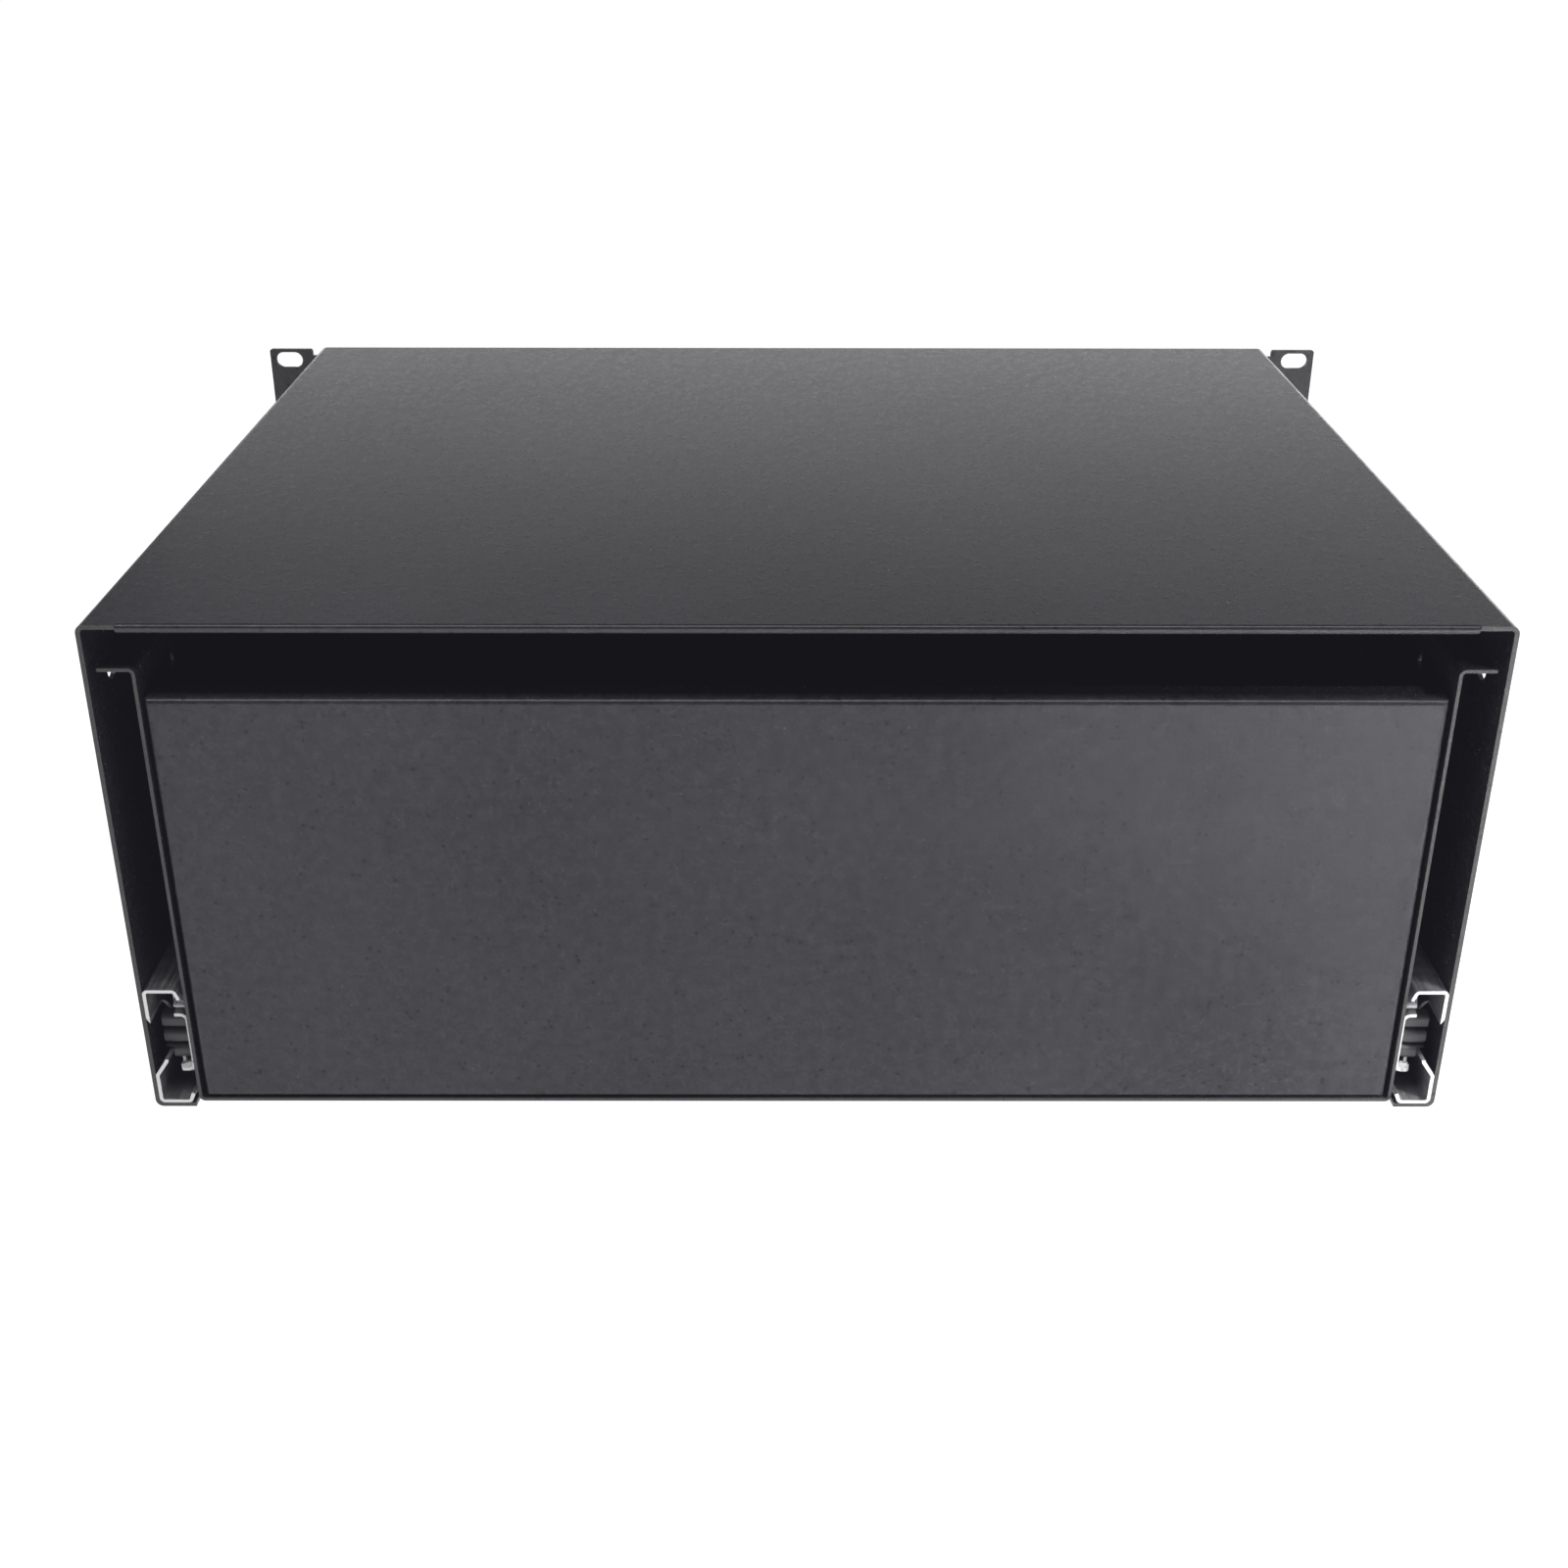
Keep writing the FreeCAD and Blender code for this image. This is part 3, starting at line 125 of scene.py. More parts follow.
class Graph:
    """A node tree that is wired step by step."""

    def __init__(self, tree: NodeTree) -> None:
        """Starts from an empty tree."""
        self.tree = tree
        tree.nodes.clear()

    def add(self, kind: str, **inputs: object) -> Node:
        """Adds a node.

        Args:
            kind: the node's type, without its ShaderNode prefix.
            inputs: values or sockets for its inputs, with _ for each space in a name.

        Returns:
            The new node.
        """
        node = self.tree.nodes.new("ShaderNode" + kind)
        for name, source in inputs.items():
            self.feed(node.inputs[name.replace("_", " ")], source)
        return node

    def feed(self, socket: NodeSocket, source: object) -> None:
        """Links a socket to a socket, or sets its value.

        Args:
            socket: the input that is fed.
            source: an output socket, or a value.
        """
        if isinstance(source, NodeSocket):
            self.tree.links.new(source, socket)
        else:
            socket.default_value = source

    def math(self, operation: str, *values: object) -> NodeSocket:
        """Adds a Math node.

        Args:
            operation: the node's operation.
            values: its inputs in order, each a socket or a value.

        Returns:
            The result's socket.
        """
        node = self.tree.nodes.new("ShaderNodeMath")
        node.operation = operation
        for socket, source in zip(node.inputs, values):
            self.feed(socket, source)
        return node.outputs[0]

    def noise(
        self, vector: NodeSocket, scale: float, detail: float = 2.0, rough: float = 0.5
    ) -> NodeSocket:
        """A noise texture's value."""
        node = self.add("TexNoise", Vector=vector, Scale=scale, Detail=detail, Roughness=rough)
        return node.outputs["Fac"]

    def stretch(
        self, value: object, low: float, high: float, start: float = 0.0, end: float = 1.0
    ) -> NodeSocket:
        """Maps low..high to start..end and clamps it.

        Args:
            value: what is mapped.
            low: the value that gives start.
            high: the value that gives end.
            start: the result at low.
            end: the result at high.

        Returns:
            The result's socket.
        """
        node = self.tree.nodes.new("ShaderNodeMapRange")
        ends = (value, low, high, start, end)
        for socket, source in zip(node.inputs, ends):
            self.feed(socket, source)
        return node.outputs["Result"]

    def blend(self, factor: object, first: object, second: object) -> NodeSocket:
        """Mixes two colours.

        Args:
            factor: how much of the second colour is in the mix.
            first: the first colour.
            second: the second colour.

        Returns:
            The mixed colour's socket.
        """
        node = self.tree.nodes.new("ShaderNodeMix")
        node.data_type = "RGBA"
        colours = [s for s in node.inputs if s.type == "RGBA"]
        self.feed(node.inputs["Factor"], factor)
        self.feed(colours[0], first)
        self.feed(colours[1], second)
        return next(s for s in node.outputs if s.type == "RGBA")

    def scaled(self, vector: NodeSocket, scale: Sequence[float]) -> NodeSocket:
        """Stretches a vector along its axes.

        Args:
            vector: the vector that is stretched.
            scale: the factor along each axis.

        Returns:
            The stretched vector's socket.
        """
        node = self.add("Mapping", Vector=vector)
        node.inputs["Scale"].default_value = scale
        return node.outputs["Vector"]


class Effect(ABC):
    """A surface effect shared by several materials, kept as one node group."""

    title: str
    wants: dict[str, float] = {}
    gives: Sequence[str] = ()

    def group(self) -> NodeTree:
        """Finds the node group, or builds it the first time it is asked for.

        Returns:
            The group's tree.
        """
        known = bpy.data.node_groups.get(self.title)
        if known:
            return known
        tree = bpy.data.node_groups.new(self.title, "ShaderNodeTree")
        graph = Graph(tree)
        for name, value in self.wants.items():
            socket = tree.interface.new_socket(name, in_out="INPUT", socket_type="NodeSocketFloat")
            socket.default_value = value
        for name in self.gives:
            tree.interface.new_socket(name, in_out="OUTPUT", socket_type="NodeSocketFloat")
        entry = tree.nodes.new("NodeGroupInput")
        results = self.wire(graph, entry)
        leave = tree.nodes.new("NodeGroupOutput")
        for name in self.gives:
            graph.feed(leave.inputs[name], results[name])
        return tree

    def place(self, graph: Graph, **values: float) -> Node:
        """Puts the effect into a material with its own values.

        Args:
            graph: the material's tree.
            values: values for the group's inputs, with _ for each space in a name.

        Returns:
            The group's node.
        """
        node = graph.tree.nodes.new("ShaderNodeGroup")
        node.node_tree = self.group()
        for name, value in values.items():
            node.inputs[name.replace("_", " ")].default_value = value
        return node

    @abstractmethod
    def wire(self, graph: Graph, entry: Node) -> dict[str, NodeSocket]:
        """Wires the inside of the group.

        Args:
            graph: the group's tree.
            entry: its input node.

        Returns:
            The socket for each output.
        """


class Pebble(Effect):
    """The fine orange peel of a powder coat, with light and dark specks."""

    title = "powder_pebble"
    wants = {"Pitch": 780.0, "Speck Pitch": 520.0}
    gives = ("Height", "Tone", "Grain", "Bright", "Dark")
    coarse_pitch = 0.31
    coarse_relief = 0.8
    coarse_grain = 0.4
    grain_span = (0.38, 0.62)
    speck_span = (0.08, 0.26)
    speck_above = 0.985
    pit_ragged = -0.9
    pit_span = (-0.12, 0.12)
    pit_above = 0.965
    pit_tone = 0.4
    pit_depth = -1.2
    cloud_pitch = 9.0

    def wire(self, graph: Graph, entry: Node) -> dict[str, NodeSocket]:
        """Noise at two pitches for the relief, and cells for the light specks and the dark pits.

        Args:
            graph: the group's tree.
            entry: its input node.

        Returns:
            The socket for each output.
        """
        place = graph.add("TexCoord").outputs["Object"]
        pebble = graph.add("TexNoise", Vector=place, Detail=2.5, Roughness=0.55)
        graph.feed(pebble.inputs["Scale"], entry.outputs["Pitch"])
        coarse = graph.add("TexNoise", Vector=place, Detail=1.5)
        pitch = graph.math("MULTIPLY", entry.outputs["Pitch"], self.coarse_pitch)
        graph.feed(coarse.inputs["Scale"], pitch)
        small, large = pebble.outputs["Fac"], coarse.outputs["Fac"]
        relief = graph.math("MULTIPLY_ADD", large, self.coarse_relief, small)
        cells = graph.add("TexVoronoi", Vector=place)
        graph.feed(cells.inputs["Scale"], entry.outputs["Speck Pitch"])
        pick = graph.add("SeparateColor", Color=cells.outputs["Color"])
        near = graph.stretch(cells.outputs["Distance"], *self.speck_span, 1.0, 0.0)
        ragged = graph.math("MULTIPLY_ADD", small, self.pit_ragged, cells.outputs["Distance"])
        pit = graph.stretch(ragged, *self.pit_span, 1.0, 0.0)
        few = graph.math("GREATER_THAN", pick.outputs[0], self.speck_above)
        bright = graph.math("MULTIPLY", near, few)
        picked = graph.math("GREATER_THAN", pick.outputs[1], self.pit_above)
        dark = graph.math("MULTIPLY", graph.math("MULTIPLY", pit, picked), self.pit_tone)
        height = graph.math("MULTIPLY_ADD", dark, self.pit_depth, relief)
        cloud = graph.noise(place, self.cloud_pitch, 3.0, 0.6)
        fine = graph.math("MULTIPLY", small, 1.0 - self.coarse_grain)
        mottle = graph.math("MULTIPLY_ADD", large, self.coarse_grain, fine)
        grain = graph.stretch(mottle, *self.grain_span)
        return {"Height": height, "Tone": cloud, "Grain": grain, "Bright": bright, "Dark": dark}


class BareRimSheen(Effect):
    """The thin coat on the sheared back edges of a sheet, lightened further as a painted highlight.
    """

    title = "bare_rim_sheen"
    wants = {"Start": 0.33}
    gives = ("Mask",)
    facing_span = (0.90, 0.99)
    wear_pitch = 170.0
    wear_span = (0.25, 0.6)
    wear_least = 0.55

    def wire(self, graph: Graph, entry: Node) -> dict[str, NodeSocket]:
        """Faces that point back, behind a level along Y, broken by a little wear; they are
        lightened as a painted highlight as well as for their thin coat.

        Args:
            graph: the group's tree.
            entry: its input node.

        Returns:
            The socket for each output.
        """
        coords = graph.add("TexCoord")
        back = graph.add("SeparateXYZ", Vector=coords.outputs["Normal"]).outputs["Y"]
        depth = graph.add("SeparateXYZ", Vector=coords.outputs["Object"]).outputs["Y"]
        facing = graph.stretch(back, *self.facing_span)
        behind = graph.math("GREATER_THAN", depth, entry.outputs["Start"])
        wear = graph.noise(coords.outputs["Object"], self.wear_pitch, 4.0, 0.6)
        worn = graph.stretch(wear, *self.wear_span, self.wear_least, 1.0)
        return {"Mask": graph.math("MULTIPLY", graph.math("MULTIPLY", facing, behind), worn)}


class Plating(Effect):
    """The mottle and drawing lines of plated strip."""

    title = "plating_mottle"
    wants = {"Pitch": 160.0}
    gives = ("Mottle", "Lines", "Cut")
    line_stretch = (1.0, 0.02, 1.0)
    line_pitch = 1400.0
    cut_span = (0.75, 0.95)

    def wire(self, graph: Graph, entry: Node) -> dict[str, NodeSocket]:
        """Blotches, lines along the strip, and a mask for its cut ends.

        Args:
            graph: the group's tree.
            entry: its input node.

        Returns:
            The socket for each output.
        """
        coords = graph.add("TexCoord")
        place = coords.outputs["Object"]
        blotch = graph.add("TexNoise", Vector=place, Detail=4.0, Roughness=0.62)
        graph.feed(blotch.inputs["Scale"], entry.outputs["Pitch"])
        along = graph.scaled(place, self.line_stretch)
        lines = graph.noise(along, self.line_pitch)
        facing = graph.add("SeparateXYZ", Vector=coords.outputs["Normal"]).outputs["Y"]
        cut = graph.stretch(graph.math("ABSOLUTE", facing), *self.cut_span)
        return {"Mottle": blotch.outputs["Fac"], "Lines": lines, "Cut": cut}


class Dust(Effect):
    """Fine dust that settles on what faces up."""

    title = "settled_dust"
    wants = {"Amount": 0.1}
    gives = ("Mask",)
    facing_span = (0.6, 1.0)
    fine_pitch = 260.0
    fine_span = (0.45, 0.75)
    wide_pitch = 6.0

    def wire(self, graph: Graph, entry: Node) -> dict[str, NodeSocket]:
        """Upward faces, broken up by two sizes of noise.

        Args:
            graph: the group's tree.
            entry: its input node.

        Returns:
            The socket for each output.
        """
        coords = graph.add("TexCoord")
        up = graph.add("SeparateXYZ", Vector=coords.outputs["Normal"]).outputs["Z"]
        facing = graph.stretch(up, *self.facing_span)
        fine = graph.noise(coords.outputs["Object"], self.fine_pitch, 5.0, 0.7)
        fine = graph.stretch(fine, *self.fine_span)
        wide = graph.noise(coords.outputs["Object"], self.wide_pitch)
        spread = graph.math("MULTIPLY", facing, graph.math("MULTIPLY", fine, wide))
        return {"Mask": graph.math("MULTIPLY", spread, entry.outputs["Amount"])}


# ---------------------------------------------------------------- finishes


@dataclass(frozen=True)
class Finish(ABC):
    """A named surface that can be put on pieces."""

    name: str
    slot: str = ""

    @abstractmethod
    def wire(self, graph: Graph, shader: Node) -> None:
        """Feeds the shader's inputs.

        Args:
            graph: the material's tree.
            shader: the shader that is fed.
        """

    def material(self) -> Material:
        """Finds the material, or builds it the first time it is asked for.

        Returns:
            The material.
        """
        title = self.name + "_finish"
        known = bpy.data.materials.get(title)
        if known:
            return known
        made = bpy.data.materials.new(title)
        made.use_nodes = True
        graph = Graph(made.node_tree)
        shader = graph.add("BsdfPrincipled")
        out = graph.add("OutputMaterial")
        graph.feed(out.inputs["Surface"], shader.outputs["BSDF"])
        self.wire(graph, shader)
        return made

    def emboss(
        self, graph: Graph, shader: Node, height: NodeSocket, relief: float, strength: float
    ) -> None:
        """Feeds the shader's normal from a height."""
        bump = graph.add("Bump", Height=height, Strength=strength, Distance=relief)
        graph.feed(shader.inputs["Normal"], bump.outputs["Normal"])


@dataclass(frozen=True)
class PowderCoat(Finish):
    """Black textured powder coat on sheet steel."""

    base: float = 0.007
    lighter: float = 0.032
    rough: float = 0.30
    gloss: float = 0.41
    pitch: float = 780.0
    relief: float = 0.000024
    dust: float = 0.04
    rim_sheen: float = 0.0
    grain_share: float = 0.6
    pit_level: float = 0.2
    speck_level: float = 0.09
    dust_level: float = 0.30
    rough_swing: float = 0.05

    def wire(self, graph: Graph, shader: Node) -> None:
        """Near-black with a pebbled relief, specks, pits, lighter rims (thin coat plus a painted
        highlight) and a little dust.

        Args:
            graph: the material's tree.
            shader: the shader that is fed.
        """
        pebble = Pebble().place(graph, Pitch=self.pitch)
        dust = Dust().place(graph, Amount=self.dust)
        tone = graph.stretch(pebble.outputs["Tone"], *PLAIN)
        tone = graph.math("MULTIPLY", tone, 1.0 - self.grain_share)
        mixed = graph.math("MULTIPLY_ADD", pebble.outputs["Grain"], self.grain_share, tone)
        colour = graph.blend(mixed, grey(self.base, 0.2), grey(self.lighter, 0.2))
        colour = graph.blend(pebble.outputs["Dark"], colour, grey(self.base * self.pit_level))
        colour = graph.blend(pebble.outputs["Bright"], colour, grey(self.speck_level))
        colour = graph.blend(dust.outputs["Mask"], colour, grey(self.dust_level))
        # painted highlight: the back-facing edge faces are lightened, partly for their thin coat
        if self.rim_sheen:
            rim_sheen = BareRimSheen().place(graph)
            colour = graph.blend(rim_sheen.outputs["Mask"], colour, grey(self.rim_sheen))
        graph.feed(shader.inputs["Base Color"], colour)
        graph.feed(shader.inputs["Metallic"], pebble.outputs["Dark"])
        duller, glossier = self.rough + self.rough_swing, self.rough - self.rough_swing
        rough = graph.stretch(pebble.outputs["Grain"], 0.0, 1.0, duller, glossier)
        graph.feed(shader.inputs["Roughness"], rough)
        shader.inputs["Specular IOR Level"].default_value = self.gloss
        self.emboss(graph, shader, pebble.outputs["Height"], self.relief, 1.0)


@dataclass(frozen=True)
class ZincPlate(Finish):
    """Zinc-plated steel strip with pale sheared ends."""

    base: float = 0.34
    lighter: float = 0.62
    rough: float = 0.46
    pitch: float = 160.0
    sheared: float = 0.88
    metal: float = 1.0
    cut_metal: float = 0.15
    cut_rough: float = 0.15
    streak_share: float = 0.2
    relief: float = 0.00003

    def wire(self, graph: Graph, shader: Node) -> None:
        """Mottled metal with drawing lines, and no shine on its sheared ends.

        Args:
            graph: the material's tree.
            shader: the shader that is fed.
        """
        plating = Plating().place(graph, Pitch=self.pitch)
        cut = plating.outputs["Cut"]
        tone = graph.stretch(plating.outputs["Mottle"], *TIGHT)
        streak = graph.stretch(plating.outputs["Lines"], *TIGHT)
        tone = graph.math("MULTIPLY", tone, 1.0 - self.streak_share)
        mixed = graph.math("MULTIPLY_ADD", streak, self.streak_share, tone)
        colour = graph.blend(mixed, grey(self.base, 0.04), grey(self.lighter, 0.04))
        colour = graph.blend(cut, colour, grey(self.sheared))
        graph.feed(shader.inputs["Base Color"], colour)
        metal = graph.stretch(cut, 0.0, 1.0, self.metal, self.cut_metal)
        graph.feed(shader.inputs["Metallic"], metal)
        lines = plating.outputs["Lines"]
        rough = graph.stretch(lines, *PLAIN, self.rough - 0.08, self.rough + 0.12)
        rough = graph.math("MULTIPLY_ADD", cut, self.cut_rough, rough)
        graph.feed(shader.inputs["Roughness"], rough)
        self.emboss(graph, shader, lines, self.relief, 0.3)


@dataclass(frozen=True)
class BrightMetal(Finish):
    """Polished or plated metal with faint handling marks."""

    base: Colour = (0.70, 0.70, 0.71, 1.0)
    rough: float = 0.12
    smear_pitch: float = 130.0
    mark_pitch: float = 900.0
    dull_level: float = 0.82
    relief: float = 0.00001

    def wire(self, graph: Graph, shader: Node) -> None:
        """A clean metal whose gloss varies a little.

        Args:
            graph: the material's tree.
            shader: the shader that is fed.
        """
        place = graph.add("TexCoord").outputs["Object"]
        smear = graph.noise(place, self.smear_pitch, 5.0, 0.65)
        marks = graph.noise(graph.scaled(place, (1.0, 0.15, 1.0)), self.mark_pitch, 3.0, 0.6)
        dull = dimmed(self.base, self.dull_level)
        colour = graph.blend(graph.stretch(smear, *TIGHT), dull, self.base)
        graph.feed(shader.inputs["Base Color"], colour)
        shader.inputs["Metallic"].default_value = 1.0
        rough = graph.stretch(smear, *PLAIN, self.rough, self.rough + 0.14)
        graph.feed(shader.inputs["Roughness"], rough)
        self.emboss(graph, shader, marks, self.relief, 0.15)


@dataclass(frozen=True)
class MouldedPlastic(Finish):
    """Injection-moulded plastic with a fine spark texture."""

    base: Colour = (0.16, 0.16, 0.165, 1.0)
    rough: float = 0.5
    flow_pitch: float = 90.0
    spark_pitch: float = 2600.0
    dull_level: float = 0.78
    relief: float = 0.00003

    def wire(self, graph: Graph, shader: Node) -> None:
        """An even colour with slight flow marks and a fine relief.

        Args:
            graph: the material's tree.
            shader: the shader that is fed.
        """
        place = graph.add("TexCoord").outputs["Object"]
        flow = graph.noise(place, self.flow_pitch, 3.0, 0.55)
        dull = dimmed(self.base, self.dull_level)
        colour = graph.blend(graph.stretch(flow, *PLAIN), dull, self.base)
        graph.feed(shader.inputs["Base Color"], colour)
        rough = graph.stretch(flow, *PLAIN, self.rough - 0.06, self.rough + 0.08)
        graph.feed(shader.inputs["Roughness"], rough)
        self.emboss(graph, shader, graph.noise(place, self.spark_pitch), self.relief, 0.3)


# the rim tone on the sleeve and tray coats paints a highlight on their back edges, partly for their
# thin coat
SLEEVE_COAT = PowderCoat("sleeve_coat", rim_sheen=0.060)
DRAWER_COAT = PowderCoat("drawer_coat", base=0.007, lighter=0.046)
TRAY_COAT = PowderCoat("tray_coat", slot="drawer_coat", rim_sheen=0.060)
PANEL_COAT = PowderCoat("panel_coat")
HANDLE_COAT = PowderCoat("handle_coat", base=0.012, lighter=0.018, rough=0.36, pitch=1300.0)
BLACK_SCREW = PowderCoat("screw_black", base=0.014, lighter=0.022, rough=0.32, pitch=1800.0)
SLIDE_ZINC = ZincPlate("slide_zinc")
BENT_ZINC = ZincPlate(
    "bent_zinc", slot="slide_zinc", base=0.25, lighter=0.75, rough=0.3, pitch=700.0,
    sheared=0.5, metal=0.6,
)
CAGE_STEEL = ZincPlate("cage_steel", base=0.40, lighter=0.60, pitch=240.0)
SCREW_ZINC = ZincPlate("screw_zinc", base=0.45, lighter=0.70, rough=0.28, pitch=300.0, sheared=0.6)
DULL_ZINC = ZincPlate(
    "dull_zinc", slot="screw_zinc", base=0.05, lighter=0.10, pitch=300.0, sheared=0.06,
)
LOCK_ZINC = ZincPlate("lock_zinc", base=0.40, lighter=0.58, sheared=0.55)
BALL_STEEL = BrightMetal("ball_steel", rough=0.06)
LOCK_CHROME = BrightMetal("lock_chrome", rough=0.10)
KEY_NICKEL = BrightMetal("key_nickel", base=(0.66, 0.64, 0.58, 1.0), rough=0.22)
BUMPER_GREY = MouldedPlastic("bumper_plastic", base=(0.080, 0.080, 0.083, 1.0), rough=0.45)
LEVER_BLACK = MouldedPlastic("lever_plastic", base=(0.022, 0.022, 0.023, 1.0), rough=0.42)


# ---------------------------------------------------------------- modelling


def deselect_all() -> None:
    """Leaves edit mode and clears the selection."""
    if bpy.context.mode != "OBJECT":
        bpy.ops.object.mode_set(mode="OBJECT")
    bpy.ops.object.select_all(action="DESELECT")


def activate(piece: Object) -> None:
    """Makes one object the only one selected.

    Args:
        piece: the object.
    """
    deselect_all()
    piece.select_set(True)
    bpy.context.view_layer.objects.active = piece


def apply_modifier(piece: Object, kind: str, **settings: object) -> None:
    """Adds a modifier, sets it up and applies it.

    Args:
        piece: the object that is changed.
        kind: the modifier's type.
        settings: the modifier's settings.
    """
    activate(piece)
    modifier = piece.modifiers.new(kind.lower(), kind)
    for name, value in settings.items():
        setattr(modifier, name, value)
    bpy.ops.object.modifier_apply(modifier=modifier.name)


def pick_vertices(piece: Object, wanted: Callable[[Vector], bool]) -> None:
    """Enters edit mode with only the vertices selected whose place passes a test.

    Args:
        piece: the object that is edited.
        wanted: the test of a vertex's place.
    """
    activate(piece)
    bpy.ops.object.mode_set(mode="EDIT")
    bpy.ops.mesh.select_mode(type="VERT")
    bpy.ops.mesh.select_all(action="DESELECT")
    bpy.ops.object.mode_set(mode="OBJECT")
    for vertex in piece.data.vertices:
        vertex.select = wanted(vertex.co)
    bpy.ops.object.mode_set(mode="EDIT")


def settle(piece: Object) -> None:
    """Leaves edit mode and puts the object's origin at the frame's origin."""
    activate(piece)
    bpy.ops.object.transform_apply(location=True, rotation=True, scale=True)


def dress(piece: Object, finish: Finish) -> None:
    """Gives an object one material."""
    piece.data.materials.clear()
    piece.data.materials.append(finish.material())


@dataclass
class Easing:
    """How much the edges of a carried-over node are rounded."""

    width: float
    segments: int = 2
    sharp: float = 35.0
    smooth: float = 40.0
    merge: float = 0.001 * MM
    flat: float = 0.5

    def copy(self, node: str) -> Object:
        """Copies a node and merges its triangles into whole faces.

        Args:
            node: the name of the node in the frame.

        Returns:
            The new object, not yet rounded, which still has to ride on a body.
        """
        source = frame["nodes"][node]
        piece = bpy.data.objects.new(node + "_eased", source.data.copy())
        bpy.context.scene.collection.objects.link(piece)
        activate(piece)
        bpy.ops.object.mode_set(mode="EDIT")
        bpy.ops.mesh.select_all(action="SELECT")
        bpy.ops.mesh.customdata_custom_splitnormals_clear()
        bpy.ops.mesh.remove_doubles(threshold=self.merge)
        bpy.ops.mesh.dissolve_limited(angle_limit=math.radians(self.flat))
        bpy.ops.object.mode_set(mode="OBJECT")
        return piece

    def round_edges(self, piece: Object) -> None:
        """Bevels the sharp edges and keeps the flat faces flat in the light.

        Args:
            piece: the object, which is the active one.
        """
        bpy.ops.object.shade_smooth_by_angle(angle=math.radians(self.smooth))
        apply_modifier(
            piece, "BEVEL", width=self.width, segments=self.segments, limit_method="ANGLE",
            angle_limit=math.radians(self.sharp), use_clamp_overlap=True, harden_normals=True,
        )
        apply_modifier(piece, "WEIGHTED_NORMAL", mode="FACE_AREA", weight=100, keep_sharp=True)


class Assembly(ABC):
    """A group of pieces that belong together."""

    def carry(self, node: str, finish: Finish) -> None:
        """Keeps a node as it is, with a finish."""
        dress(frame["nodes"][node], finish)
        LOG.info("%s: dressed in %s", node, finish.name)

    def ease(self, node: str, finish: Finish, easing: Easing, press: Press | None = None) -> Object:
        """Shows a node with rounded edges, in a finish.

        Args:
            node: the node that is shown.
            finish: its finish.
            easing: how its edges are rounded.
            press: shapes the copy before its edges are rounded.

        Returns:
            The new object.
        """
        piece = easing.copy(node)
        if press:
            press(piece)
        easing.round_edges(piece)
        dress(piece, finish)
        self.add(piece, finish, frame["nodes"][node]["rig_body"])
        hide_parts(node)
        return piece

    def add(self, piece: Object, finish: Finish, body: str) -> None:
        """Registers a new piece on a body.

        Args:
            piece: the new object.
            finish: not used.
            body: the body it rides on.
        """
        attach(piece, body)
        LOG.info("%s: %d faces on %s", piece.name, len(piece.data.polygons), body)

    @abstractmethod
    def build(self) -> None:
        """Makes and dresses every piece of the assembly."""


@dataclass
class Sleeve(Assembly):
    """The folded sleeve, its strike and the screws outside it."""

    edge: float = 0.5 * MM

    def build(self) -> None:
        """Eases the sheets and dresses the screws."""
        self.ease("housing_shell", SLEEVE_COAT, Easing(self.edge, segments=3))
        self.ease("lock_strike", SLEEVE_COAT, Easing(self.edge, segments=3))
        for side in Side:
            self.carry("housing_screws_" + side.value, BLACK_SCREW)


